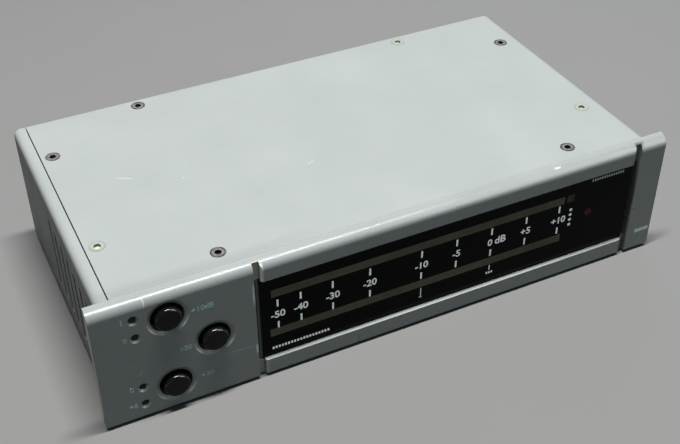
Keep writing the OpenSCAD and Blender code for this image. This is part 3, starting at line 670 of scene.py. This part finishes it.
def put_shape(name: str, shape: bmesh.types.BMesh, material: bpy.types.Material) -> bpy.types.Object:
    """Puts a shape into the scene as a mesh, and frees it.

    Args:
        name: Name of the object.
        shape: Shape under construction.
        material: Material of the mesh.

    Returns:
        The object.
    """
    mesh = bpy.data.meshes.new(name)
    shape.to_mesh(mesh)
    shape.free()
    mesh.materials.append(material)
    return put(name, mesh)


def dress(finish: Finish, name: str, *nodes: str) -> None:
    """Gives CAD nodes a finish in every slot.

    Args:
        finish: Finish to give.
        name: Name of its material.
        *nodes: Names of the nodes.
    """
    material = finish.build(name)
    for node in nodes:
        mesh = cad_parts[node].data
        mesh.materials.clear()
        mesh.materials.append(material)
        LOG.info("dressed %s in %s", node, name)


def letters(text: str, offset: float, align: Align) -> bpy.types.Mesh:
    """Makes a flat mesh of some characters in the plain font, standing on the X axis.

    Args:
        text: Characters to make.
        offset: Thickening of the strokes, as a share of the font's size.
        align: Which point of the word lies at the origin.

    Returns:
        The mesh.
    """
    curve = bpy.data.curves.new("word", "FONT")
    curve.body = text
    curve.size = 1.0
    curve.resolution_u = 4
    curve.align_x = align.value
    curve.offset = offset
    holder = put("word", curve)
    solved = holder.evaluated_get(bpy.context.evaluated_depsgraph_get())
    flat = bpy.data.meshes.new_from_object(solved)
    bpy.data.objects.remove(holder)
    bpy.data.curves.remove(curve)
    return flat


@dataclass
class Sheet:
    """Flat printing or inlay on the front, gathered in one mesh. Its methods take millimetres on the panel.

    Attributes:
        face: Y of the surface that carries it, in metres.
        thickness: Thickness of the film, in metres.
        dash_share: Share of a dash's step that is filled.
        capital: Height of a numeral as a share of the font's size.
        shape: Mesh under construction.
    """

    face: float
    thickness: float = 0.02 * MM
    dash_share: float = 0.6
    capital: float = 0.7
    shape: bmesh.types.BMesh = field(default_factory=bmesh.new)

    def middle(self, x: float, z: float) -> Matrix:
        """Gives a move to the film's middle, at a distance from the panel's left end and a height."""
        return Matrix.Translation((PANEL_LOW.x + x * MM, self.face - self.thickness / 2, z * MM))

    def bar(self, x: float, z: float, width: float, height: float) -> None:
        """Adds a filled rectangle about its middle."""
        size = Matrix.Diagonal((width * MM, self.thickness, height * MM, 1.0))
        bmesh.ops.create_cube(self.shape, size=1.0, matrix=self.middle(x, z) @ size)

    def dashes(self, x: float, z: float, length: float, height: float, pitch: float) -> None:
        """Adds a row of short dashes about its middle.

        Args:
            x, z: Place of its middle.
            length, height, pitch: Length of the row, height of a dash and step from dash to dash.
        """
        count = round(length / pitch)
        for i in range(count):
            self.bar(x + (i + 0.5 - count / 2) * pitch, z, pitch * self.dash_share, height)

    def disc(self, x: float, z: float, width: float) -> None:
        """Adds a filled disc of a diameter about its middle."""
        shape = {"cap_ends": True, "segments": 24, "radius1": width * MM / 2, "radius2": width * MM / 2}
        turn = Matrix.Rotation(math.radians(90), 4, "X")
        bmesh.ops.create_cone(self.shape, **shape, depth=self.thickness, matrix=self.middle(x, z) @ turn)

    def word(self, text: str, x: float, z: float, height: float, bold: float,
             align: Align = Align.CENTER) -> None:
        """Adds plain characters with their middle height at z.

        Args:
            text: Characters to print.
            x, z: Place of the word's middle, or of its left end.
            height, bold: Height of the characters and thickening of their strokes.
            align: Which point of the word lies at x.
        """
        flat = letters(text, self.capital * bold / height, align)
        scale = height * MM / max(vertex.co.y for vertex in flat.vertices)
        film = bmesh.new()
        film.from_mesh(flat)
        bmesh.ops.remove_doubles(film, verts=film.verts, dist=1e-5)
        front = bmesh.ops.extrude_face_region(film, geom=film.faces[:])
        raised = [item for item in front["geom"] if isinstance(item, bmesh.types.BMVert)]
        bmesh.ops.translate(film, verts=raised, vec=(0, 0, self.thickness / scale))
        bmesh.ops.recalc_face_normals(film, faces=film.faces)
        for face in film.faces:
            face.smooth = False
        foot = Matrix.Translation((PANEL_LOW.x + x * MM, self.face, (z - height / 2) * MM))
        film.transform(foot @ Matrix.Rotation(math.radians(90), 4, "X") @ Matrix.Scale(scale, 4))
        film.to_mesh(flat)
        film.free()
        self.shape.from_mesh(flat)
        bpy.data.meshes.remove(flat)

    def finish(self, name: str, material: bpy.types.Material, slot: str) -> None:
        """Turns the gathered shapes into one piece on the case.

        Args:
            name: Name of the piece.
            material: Its material.
            slot: Material slot meant for it; not used.
        """
        piece = put_shape(name, self.shape, material)
        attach(piece, CASE_BODY)
        LOG.info("made %s with %d faces", name, len(piece.data.polygons))


@dataclass
class Display:
    """Dark window with its scale and the faces of the two light bars. Sizes are millimetres on the panel.

    Attributes:
        scale: Reading and place of each mark of the scale.
        bars: Name, left end and height of each bar's face.
        bar_right, bar_h: Right end and height of both bars.
        segments, segment_fill: Segments in one bar, and the share of its step that one fills.
        end_lamp: Place and width of the lamp at the end of the upper bar.
        red_lamp: Place and diameter of the round lamp.
        tick_w, tick_h, tick_rows: Width and height of a mark, and heights of the two rows of marks.
        numeral_z, numeral_h, bold: Middle, height and thickening of the numerals.
        lone_shift: How far a single numeral stands to the left of its mark.
        unit: The unit, with the place of its left end.
        lean, lean_from: Slope by which the scale hangs lower towards its left end, and where that starts.
        strokes, rows: Fine strokes and rows of dashes under the scale.
        stack, stack_count, stack_pitch: Top one of the marks beside the end lamp, their number and step.
        rule: Faint row of dashes above the scale.
        lens_chamfer: Width of the chamfer at the window's two ends.
        unlit, unlit_end, unlit_red: Finishes of the faces of the bars, the end lamp and the round lamp.
        white, faint: Inks of the scale and of the faint row.
    """

    scale: tuple[tuple[str, float], ...] = (
        ("-50", 54.27), ("-40", 61.58), ("-30", 71.89), ("-20", 84.21), ("-10", 101.83), ("-5", 114.15),
        ("0", 126.66), ("+5", 139.38), ("+10", 151.8))
    bars: tuple[tuple[str, float, float], ...] = (
        ("upper_bar_face", 52.4, 29.47), ("lower_bar_face", 51.6, 14.6))
    bar_right: float = 153.4
    bar_h: float = 2.8
    segments: int = 101
    segment_fill: float = 0.97
    end_lamp: Triple = (155.75, 29.47, 2.7)
    red_lamp: Triple = (163.34, 21.65, 2.7)
    tick_w: float = 0.6
    tick_h: float = 2.6
    tick_rows: Pair = (26.26, 17.9)
    numeral_z: float = 22.1
    numeral_h: float = 2.5
    bold: float = 0.08
    lone_shift: float = 0.4
    unit: Word = ("dB", 127.95, 22.2, 2.7)
    lean: float = 0.0131
    lean_from: float = 110.0
    strokes: tuple[Stroke, ...] = (
        (101.98, 10.9, 0.25, 3.6), (101.9, 9.1, 0.9, 0.35), (126.82, 11.8, 0.3, 1.9))
    rows: tuple[Row, ...] = ((126.9, 9.75, 2.7, 0.8, 0.9), (61.23, 8.5, 19.0, 0.9, 1.0))
    stack: Stroke = (156.35, 24.78, 1.0, 0.95)
    stack_count: int = 4
    stack_pitch: float = 1.95
    rule: Row = (169.5, 33.9, 12.6, 0.9, 0.9)
    lens_chamfer: float = 0.9
    unlit: SegmentFinish = SegmentFinish((0.087, 0.078, 0.053, 1), (0.062, 0.055, 0.038, 1))
    unlit_end: SegmentFinish = SegmentFinish((0.048, 0.043, 0.031, 1), (0.03, 0.027, 0.02, 1))
    unlit_red: SegmentFinish = SegmentFinish((0.072, 0.012, 0.026, 1), (0.05, 0.009, 0.019, 1))
    white: InkFinish = InkFinish((0.98, 0.92, 0.87, 1), (0.88, 0.83, 0.78, 1))
    faint: InkFinish = InkFinish((0.32, 0.32, 0.31, 1), (0.2, 0.2, 0.19, 1))

    def build(self) -> None:
        """Dresses the window, lays the faces of the bars and lamps in it, and prints the scale."""
        low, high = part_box("display_window")
        lens = LensFinish((low.x + high.x) / 2, (high.x - low.x) / 2 - self.lens_chamfer * MM)
        dress(lens, "smoked_acrylic", "display_window")
        self.lay_segments()
        self.lay_lamps()
        self.print_scale()

    def sheet(self) -> Sheet:
        """Starts an inlay on the window's face."""
        return Sheet(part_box("display_window")[0].y)

    def lay_segments(self) -> None:
        """Lays the unlit segments of both bars at the window's face."""
        unlit = self.unlit.build("unlit_segments")
        for name, left, z in self.bars:
            sheet = self.sheet()
            pitch = (self.bar_right - left) / self.segments
            for i in range(self.segments):
                sheet.bar(left + (i + 0.5) * pitch, z, pitch * self.segment_fill, self.bar_h)
            sheet.finish(name, unlit, "bar_housing")

    def lay_lamps(self) -> None:
        """Lays the faces of the two unlit lamps at the window's face."""
        end = self.sheet()
        end.bar(*self.end_lamp, self.bar_h)
        end.finish("end_lamp_face", self.unlit_end.build("unlit_end"), "lamp_red")
        spot = self.sheet()
        spot.disc(*self.red_lamp)
        spot.finish("red_lamp_face", self.unlit_red.build("unlit_red"), "lamp_red")

    def print_scale(self) -> None:
        """Prints the white scale and the faint row above it."""
        sheet = self.sheet()
        for reading, x in self.scale:
            drop = self.lean * max(0.0, self.lean_from - x)
            for z in self.tick_rows:
                sheet.bar(x, z - drop, self.tick_w, self.tick_h)
            shift = 0.0 if len(reading) > 1 else self.lone_shift
            sheet.word(reading, x - shift, self.numeral_z - drop, self.numeral_h, self.bold)
        sheet.word(*self.unit, self.bold, Align.LEFT)
        for stroke in self.strokes:
            sheet.bar(*stroke)
        for row in self.rows:
            sheet.dashes(*row)
        x, top, width, height = self.stack
        for i in range(self.stack_count):
            sheet.bar(x, top - self.stack_pitch * i, width, height)
        sheet.finish("scale_printing", self.white.build("white_ink"), "plunger_nylon")
        rule = self.sheet()
        rule.dashes(*self.rule)
        rule.finish("window_rule", self.faint.build("faint_ink"), "plunger_nylon")


@dataclass
class FrontPanel:
    """Painted panel with its small marks. Sizes are millimetres on the panel.

    Attributes:
        paint: Paint of the panel.
        marks, legends: Pale marks beside the lamps, and blue-green ones beside the buttons.
        pale_bold, blue_bold: Thickening of those marks.
        rule: Row of dashes on the right block.
        pale, blue, light_blue: Inks of the pale marks, the blue-green ones and the row.
    """

    paint: PaintFinish
    marks: tuple[Word, ...] = (("I", 8.8, 37.3, 1.9), ("II", 9.0, 30.6, 1.5), ("0", 8.6, 12.0, 1.8))
    legends: tuple[Word, ...] = (
        ("+10dB", 31.6, 34.0, 1.8), ("+20", 25.5, 21.2, 1.7), ("+30", 31.0, 8.7, 1.8), ("+6", 8.4, 5.4, 1.8))
    pale_bold: float = 0.02
    blue_bold: float = 0.03
    rule: Row = (186.5, 7.4, 5.6, 1.3, 0.7)
    pale: InkFinish = InkFinish((0.26, 0.275, 0.275, 1), (0.21, 0.22, 0.22, 1))
    blue: InkFinish = InkFinish((0.2, 0.275, 0.285, 1), (0.17, 0.235, 0.245, 1))
    light_blue: InkFinish = InkFinish((0.42, 0.5, 0.5, 1), (0.34, 0.41, 0.41, 1))

    def build(self) -> None:
        """Dresses the panel and prints its marks."""
        dress(self.paint, "panel_paint", "front_panel")
        pale = Sheet(PANEL_LOW.y)
        for mark in self.marks:
            pale.word(*mark, self.pale_bold)
        pale.finish("pale_marks", self.pale.build("pale_ink"), "plunger_nylon")
        blue = Sheet(PANEL_LOW.y)
        for legend in self.legends:
            blue.word(*legend, self.blue_bold)
        blue.finish("blue_marks", self.blue.build("blue_ink"), "trimmer_blue")
        rule = Sheet(PANEL_LOW.y)
        rule.dashes(*self.rule)
        rule.finish("block_rule", self.light_blue.build("light_blue_ink"), "trimmer_blue")


def head_middles(node: str, apart: float = 6.0 * MM, level: float = 0.01 * MM) -> tuple[Vector, ...]:
    """Finds the middle of each screw head of a CAD node, from the highest points of its mesh.

    Args:
        node: Name of the node.
        apart: Least distance between two screws, in metres.
        level: How far under the highest point a point still lies on a flat, in metres.

    Returns:
        The middles, at the height of the heads' flats.
    """
    points = [vertex.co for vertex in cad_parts[node].data.vertices]
    top = max(point.z for point in points)
    groups: list[list[Vector]] = []
    for point in (point for point in points if top - point.z < level):
        group = next((group for group in groups if (group[0] - point).length < apart), None)
        if group is None:
            groups.append([point])
        else:
            group.append(point)
    return tuple(sum(group, Vector()) / len(group) for group in groups)


@dataclass
class Case:
    """The two bent shells, and the screws in the upper one.

    Attributes:
        paint: Paint of the shells.
        oxide, zinc: Flat, rim, socket wall and socket floor of the black screws and of the bright ones; rim
            and socket colours are painted shade, and the bright screws' socket floor is a painted highlight.
    """

    paint: PaintFinish
    # Black screws: the dark rim, socket wall and socket floor are painted shade.
    oxide: tuple[Colour, ...] = (
        grey(0.062, 0.03), grey(0.007, 0.03), (0.011, 0.006, 0.006, 1), (0.011, 0.006, 0.006, 1))
    # Bright screws: the dark rim and socket wall are painted shade, the light socket floor a painted
    # highlight.
    zinc: tuple[Colour, ...] = (
        (0.105, 0.11, 0.096, 1), (0.085, 0.089, 0.08, 1), (0.06, 0.06, 0.042, 1), (0.3, 0.31, 0.24, 1))

    def build(self) -> None:
        """Dresses the case."""
        dress(self.paint, "case_paint", "upper_shell", "lower_shell")
        oxide = ScrewFinish(*self.oxide, head_middles("black_cover_screws"))
        dress(oxide, "black_oxide", "black_cover_screws")
        zinc = ScrewFinish(*self.zinc, head_middles("bright_cover_screws"))
        dress(zinc, "yellow_zinc", "bright_cover_screws")


# Row of a table of finishes: the material's name, its finish and the CAD nodes that get it
Look = tuple[str, Finish, tuple[str, ...]]


@dataclass
class PlainPieces:
    """Pieces that get a finish and nothing else.

    Attributes:
        lamps: Looks of the lamps, the light bars and what holds them.
        buttons: Looks of the push buttons with their plungers and switches.
        fixings: Looks of the pillars, and of the screws in the base.
        rear: Looks of the rear plate with its connector.
        boards: Looks of the boards and the parts on them.
    """

    lamps: tuple[Look, ...] = (
        ("amber_resin", LampFinish((0.16, 0.11, 0.03, 1), (0.2, 0.15, 0.06, 1)), ("amber_indicator",)),
        # Clear lamps darkened as painted shade, for their place deep in the holes.
        ("clear_resin", LampFinish((0.08, 0.08, 0.075, 1), (0.12, 0.12, 0.115, 1)), ("clear_indicators",)),
        ("spacer_nylon", PlasticFinish(grey(0.05), grey(0.09)), ("indicator_spacers",)),
        ("black_mask", PlasticFinish(grey(0.012), grey(0.03)), ("light_mask",)),
        ("bar_housing", PlasticFinish((0.09, 0.088, 0.072, 1), (0.14, 0.135, 0.11, 1)),
         ("upper_bargraph", "lower_bargraph")),
        ("over_lamp_resin", LampFinish((0.20, 0.05, 0.035, 1), (0.28, 0.09, 0.06, 1)), ("over_lamp",)))
    buttons: tuple[Look, ...] = (
        ("button_plastic", PlasticFinish(grey(0.001), grey(0.004, 0.05), 0.2, specular=0.14, polish=1.0),
         ("upper_button_cap", "middle_button_cap", "lower_button_cap")),
        ("plunger_nylon", PlasticFinish((0.66, 0.63, 0.55, 1), (0.75, 0.73, 0.67, 1), 0.5),
         ("upper_plunger", "middle_plunger", "lower_plunger")),
        ("switch_plastic", PlasticFinish(grey(0.035), grey(0.07), 0.5),
         ("upper_switch", "middle_switch", "lower_switch")))
    fixings: tuple[Look, ...] = (
        ("blackened_steel", MetalFinish(grey(0.024), (0.012, 0.009, 0.0085, 1), 0.3, 0.42),
         ("base_screws", "standoff_screws")),
        ("nickel_plate", MetalFinish(grey(0.62, 0.02), grey(0.4, 0.04), 1.0, 0.28), ("shell_pillars",)))
    rear: tuple[Look, ...] = (
        ("rear_paint", PaintFinish(), ("rear_panel",)),
        ("tinned_steel", MetalFinish(grey(0.66, 0.02), grey(0.42, 0.05), 1.0, 0.3, (0.15, 1.0, 1.0)),
         ("connector_shell",)),
        ("contact_insert", PlasticFinish(grey(0.014), grey(0.03), 0.5), ("connector_insert",)),
        ("jackscrew_nickel", MetalFinish(grey(0.6, 0.02), grey(0.38, 0.05), 1.0, 0.3, (1.0, 0.12, 1.0)),
         ("jackscrews",)))
    boards: tuple[Look, ...] = (
        ("board_laminate", BoardFinish(), ("front_board", "main_board")),
        ("turned_brass", MetalFinish((0.70, 0.56, 0.26, 1), (0.42, 0.3, 0.13, 1), 1.0, 0.3),
         ("board_standoffs",)),
        ("zinc_plate", MetalFinish(grey(0.6), grey(0.4, 0.04)), ("board_screws", "front_board_screw")),
        ("header_plastic", PlasticFinish(grey(0.016), grey(0.05), 0.45), ("link_header",)),
        ("drawn_can", MetalFinish(grey(0.46), grey(0.3, 0.05), 1.0, 0.36), ("input_transformers",)),
        ("shrink_sleeve", PlasticFinish((0.016, 0.026, 0.055, 1), (0.05, 0.07, 0.11, 1), 0.25),
         ("filter_capacitors",)),
        ("moulded_epoxy", PlasticFinish(grey(0.018), grey(0.04), 0.55),
         ("ic_packages", "voltage_regulators")),
        ("trimmer_plastic", PlasticFinish((0.02, 0.085, 0.3, 1), (0.07, 0.17, 0.4, 1), 0.35),
         ("trimmers",)),
        ("black_anodise", MetalFinish(grey(0.05), grey(0.03), 0.6, 0.45), ("heat_sink",)))

    def build(self) -> None:
        """Dresses the pieces."""
        for name, finish, nodes in self.lamps + self.buttons + self.fixings + self.rear + self.boards:
            dress(finish, name, *nodes)


@dataclass
class Light:
    """One soft box.

    Attributes:
        name: Name of the light.
        toward, distance: Direction from the object to the light, and distance in metres.
        size: Width and height in metres.
        power: Power in watts.
        part: Part of the shading that it gives.
        tint: Colour of the light.
    """

    name: str
    toward: Triple
    distance: float
    size: Pair
    power: float
    part: Part
    tint: Triple = (1.0, 1.0, 1.0)

    def build(self, target: Vector) -> None:
        """Hangs the light so that it faces the target.

        Args:
            target: Point that the light faces.
        """
        data = bpy.data.lights.new(self.name, "AREA")
        data.shape = "RECTANGLE"
        data.size, data.size_y = self.size
        data.energy = self.power
        data.color = self.tint
        lamp = put(self.name, data)
        away = Vector(self.toward).normalized()
        lamp.location = target + away * self.distance
        lamp.rotation_euler = away.to_track_quat("Z", "Y").to_euler()
        lamp.visible_diffuse = self.part is Part.DIFFUSE
        lamp.visible_glossy = self.part is Part.GLOSS


@dataclass
class Studio:
    """Plain floor, soft light and the camera at the photograph's viewpoint.

    Attributes:
        lights: Soft boxes.
        sky, sky_power: Colour and strength of the room's light.
        card: Finish of the floor.
        floor_gap, floor_side: Gap of shadow under the base, and side of the floor, in metres.
        camera_place: Camera's place from the panel's lower left front corner, in millimetres.
        camera_turn: Camera's turn about X, Y and Z, in degrees.
        lens, sensor: Focal length and width of the sensor, in millimetres.
        nearest: Least distance that the camera shows, in metres.
    """

    lights: tuple[Light, ...] = (
        Light("overhead_strip", (0.0, -0.075, 1.0), 1.0, (0.45, 0.06), 59.5, Part.DIFFUSE),
        Light("edge_strip", (0.07, -0.46, 0.88), 1.0, (0.55, 0.14), 12.6, Part.GLOSS),
        Light("side_window", (0.55, -0.76, 0.36), 1.0, (0.5, 0.7), 5.5, Part.GLOSS),
        Light("front_fill", (0.1, -0.9, 0.35), 1.5, (1.6, 0.8), 4.6, Part.DIFFUSE, (0.6, 0.95, 1.0)),
        Light("back_fill", (0.6, 0.6, 0.53), 0.45, (0.3, 0.2), 0.9, Part.DIFFUSE, (0.8, 0.95, 1.0)),
        Light("left_fill", (-0.9, -0.35, 0.3), 1.2, (0.8, 0.8), 0.5, Part.DIFFUSE),
        Light("rear_fill", (0.35, 0.9, 0.2), 1.5, (1.6, 0.5), 7.0, Part.DIFFUSE, (0.8, 0.97, 1.0)),
        Light("rear_window", (-0.3, 0.9, 0.15), 1.2, (1.0, 0.3), 6.0, Part.GLOSS),
    )
    sky: Colour = (0.85, 0.95, 1.0, 1.0)
    sky_power: float = 0.05
    card: CardFinish = CardFinish()
    floor_gap: float = 0.8 * MM
    floor_side: float = 4.0
    camera_place: Triple = (-31.34, -219.21, 237.26)
    camera_turn: Triple = (52.279, 0.405, -25.927)
    lens: float = 58.18
    sensor: float = 36.0
    nearest: float = 0.01

    def build(self) -> None:
        """Sets up the studio."""
        low, high = CAD_BOX
        for light in self.lights:
            light.build((low + high) / 2)
        self.room()
        self.floor(low.z - self.floor_gap)
        self.camera()

    def room(self) -> None:
        """Sets the faint light of the room and a plain view of the colours."""
        world = bpy.data.worlds.new("room")
        world.use_nodes = True
        back = world.node_tree.nodes["Background"]
        back.inputs["Color"].default_value = self.sky
        back.inputs["Strength"].default_value = self.sky_power
        bpy.context.scene.world = world
        bpy.context.scene.view_settings.view_transform = "Standard"

    def floor(self, height: float) -> None:
        """Lays the floor.

        Args:
            height: Height of the floor.
        """
        shape = bmesh.new()
        bmesh.ops.create_grid(shape, x_segments=1, y_segments=1, size=self.floor_side / 2)
        bmesh.ops.translate(shape, verts=shape.verts, vec=(0, 0, height))
        card = put_shape("floor", shape, self.card.build("floor_card"))

    def camera(self) -> None:
        """Places the camera."""
        data = bpy.data.cameras.new("photo_view")
        data.sensor_width = self.sensor
        data.lens = self.lens
        data.clip_start = self.nearest
        camera = put("photo_view", data)
        camera.location = PANEL_LOW + Vector(self.camera_place) * MM
        camera.rotation_euler = Euler([math.radians(angle) for angle in self.camera_turn], "XYZ")
        bpy.context.scene.camera = camera


@dataclass
class PanelWear:
    """Worn places of the panel's paint, with painted highlights and painted shade. Lengths are metres.

    Attributes:
        lamp_pitch, lamp_radius: Step between the lamps of a pair, and outer radius of a hole's countersink.
        rim_radius: Outer radius of the dished rim round a button.
        sink: Depth of the countersinks and rims.
        amber, clear: How bare and lit the lower sides of the holes of the amber lamp and of the clear ones
            are, and their colour.
        rim_bare_and_lit: How bare and lit the rims' lower sides are, as rubbed paint and painted light.
        groove_shade, stain: Colours of the painted shade in the right groove and of the stain in the left
            one.
    """

    lamp_pitch: float = 6.5 * MM
    lamp_radius: float = 1.45 * MM
    rim_radius: float = 6.15 * MM
    sink: float = 0.5 * MM
    amber: tuple[float, Colour] = (0.8, (0.24, 0.19, 0.12, 1.0))
    clear: tuple[float, Colour] = (0.7, (0.42, 0.4, 0.36, 1.0))
    rim_bare_and_lit: float = 0.12
    groove_shade: Colour = (0.02, 0.02, 0.016, 1.0)
    stain: Colour = (0.12, 0.104, 0.084, 1.0)

    def marks(self) -> tuple[Union[Scratch, BareAndLitHole], ...]:
        """Lists all worn places, painted highlights and painted shade."""
        return self.scratches() + self.lamp_holes() + self.button_rims()

    def scratches(self) -> tuple[Scratch, ...]:
        """Lists the marks of the left block, the strip under the window, the top edge and the two grooves.

        Returns:
            The scratches, chips, stain, painted highlights and painted shade.
        """
        def on_face(x: float, z: float, depth: float = 0.0) -> Vector:
            """Gives a point on or behind the panel's face, from millimetres."""
            return PANEL_LOW + Vector((x, depth, z)) * MM

        def on_edge(x: float, depth: float, drop: float) -> Vector:
            """Gives a point of the panel's top edge, from millimetres behind the face and under the top."""
            return Vector((PANEL_LOW.x + x * MM, PANEL_LOW.y + depth * MM, PANEL_HIGH.z - drop * MM))

        return (
            Scratch(on_face(41.8, 13.6), (8.5, 1, 0.35), 0.35, (0, 4, 0)),
            Scratch(on_face(12.0, 17.4), (2.4, 1, 0.4), 0.3, (0, -55, 0)),
            # Painted highlight: the ledge under the window is made lighter along its length.
            Scratch(on_face(110.0, 5.8, 0.7), (130, 4, 0.6), 0.17),
            Scratch(on_edge(15.6, 0.4, 2.0), (0.45, 3.0, 2.6), 0.3, (20, 0, 0)),
            Scratch(on_edge(149.0, 1.7, 0.45), (2.7, 0.8, 1.2), 0.3, (30, 0, 0)),
            # Painted shade: the right groove is darkened along its whole height.
            Scratch(on_face(179.9, 21.8, 1.2), (4, 2.2, 110), 0.65, colour=self.groove_shade),
            Scratch(on_face(48.1, 41.0, 1.4), (4, 2, 20), 0.6, colour=self.stain),
            # Painted highlights: the left end chamfers of the strips above and under the window are made
            # lighter.
            Scratch(on_face(49.5, 40.0, 0.3), (1.5, 1.5, 20), 0.5),
            Scratch(on_face(49.5, 3.0, 0.3), (1.5, 1.5, 14), 0.15),
            # Painted highlights: lighter lines along the right edge of the left block.
            Scratch(on_face(46.8, 32.6), (0.9, 0.8, 9), 0.55),
            Scratch(on_face(46.7, 12.0), (0.9, 0.8, 4.2), 0.6),
        )

    def lamp_holes(self) -> tuple[BareAndLitHole, ...]:
        """Lists the holes of the indicator lamps, which stand in two pairs, with bare metal and painted
        light on their lower sides.

        Returns:
            The holes, the amber lamp's first.
        """
        low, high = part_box("amber_indicator")
        x, _, first = (low + high) / 2
        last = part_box("clear_indicators")[0].z + (high.z - low.z) / 2
        # Bare metal and painted light on the lower side of each lamp hole.
        lamps = ((first, self.amber), (first - self.lamp_pitch, self.clear),
                 (last + self.lamp_pitch, self.clear), (last, self.clear))
        return tuple(BareAndLitHole(Vector((x, PANEL_LOW.y, z)), self.lamp_radius, self.sink, *bare)
                     for z, bare in lamps)

    def button_rims(self) -> tuple[BareAndLitHole, ...]:
        """Lists the dished rims round the buttons, slightly lighter on their lower sides as rubbed paint and
        painted light.

        Returns:
            The rims.
        """
        # Rubbed paint and painted light: the rims' lower sides are made lighter.
        boxes = (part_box(f"{name}_button_cap") for name in ("upper", "middle", "lower"))
        middles = ((low + high) / 2 for low, high in boxes)
        return tuple(BareAndLitHole(Vector((x, PANEL_LOW.y, z)), self.rim_radius, self.sink, self.rim_bare_and_lit)
                     for x, _, z in middles)


def case_scratches(darker_strip: Colour = (0.05, 0.053, 0.052, 1.0)) -> tuple[Scratch, ...]:
    """Lists the marks in the paint of the case's top.

    Args:
        darker_strip: Colour of a darker strip along the top behind the panel.

    Returns:
        The scratches and the darker strip.
    """
    low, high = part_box("upper_shell")

    def on_top(x: float, y: float) -> Vector:
        """Gives a point of the case's top, from millimetres along the panel and behind it."""
        return Vector((PANEL_LOW.x + x * MM, low.y + y * MM, high.z))

    return (
        Scratch(on_top(27.8, 51.8), (6.5, 0.5, 1), 0.16, (0, 0, -29)),
        Scratch(on_top(43.7, 44.0), (0.9, 0.6, 1), 0.2),
        Scratch(on_top(82.1, 34.4), (3.0, 0.5, 1), 0.16, (0, 0, 25)),
        # A darker strip along the top, close behind the panel.
        Scratch(on_top(28.0, 0.0), (90, 10, 1), 0.25, colour=darker_strip),
    )


def main() -> None:
    """Builds every part of the scene in order."""
    logging.basicConfig(level=logging.INFO, format="%(name)s: %(message)s")
    Studio().build()
    FrontPanel(PaintFinish(roughness=0.29, marks=PanelWear().marks())).build()
    Display().build()
    Case(PaintFinish(roughness=0.5, specular=0.2, marks=case_scratches())).build()
    PlainPieces().build()


if __name__ == "__main__":
    main()
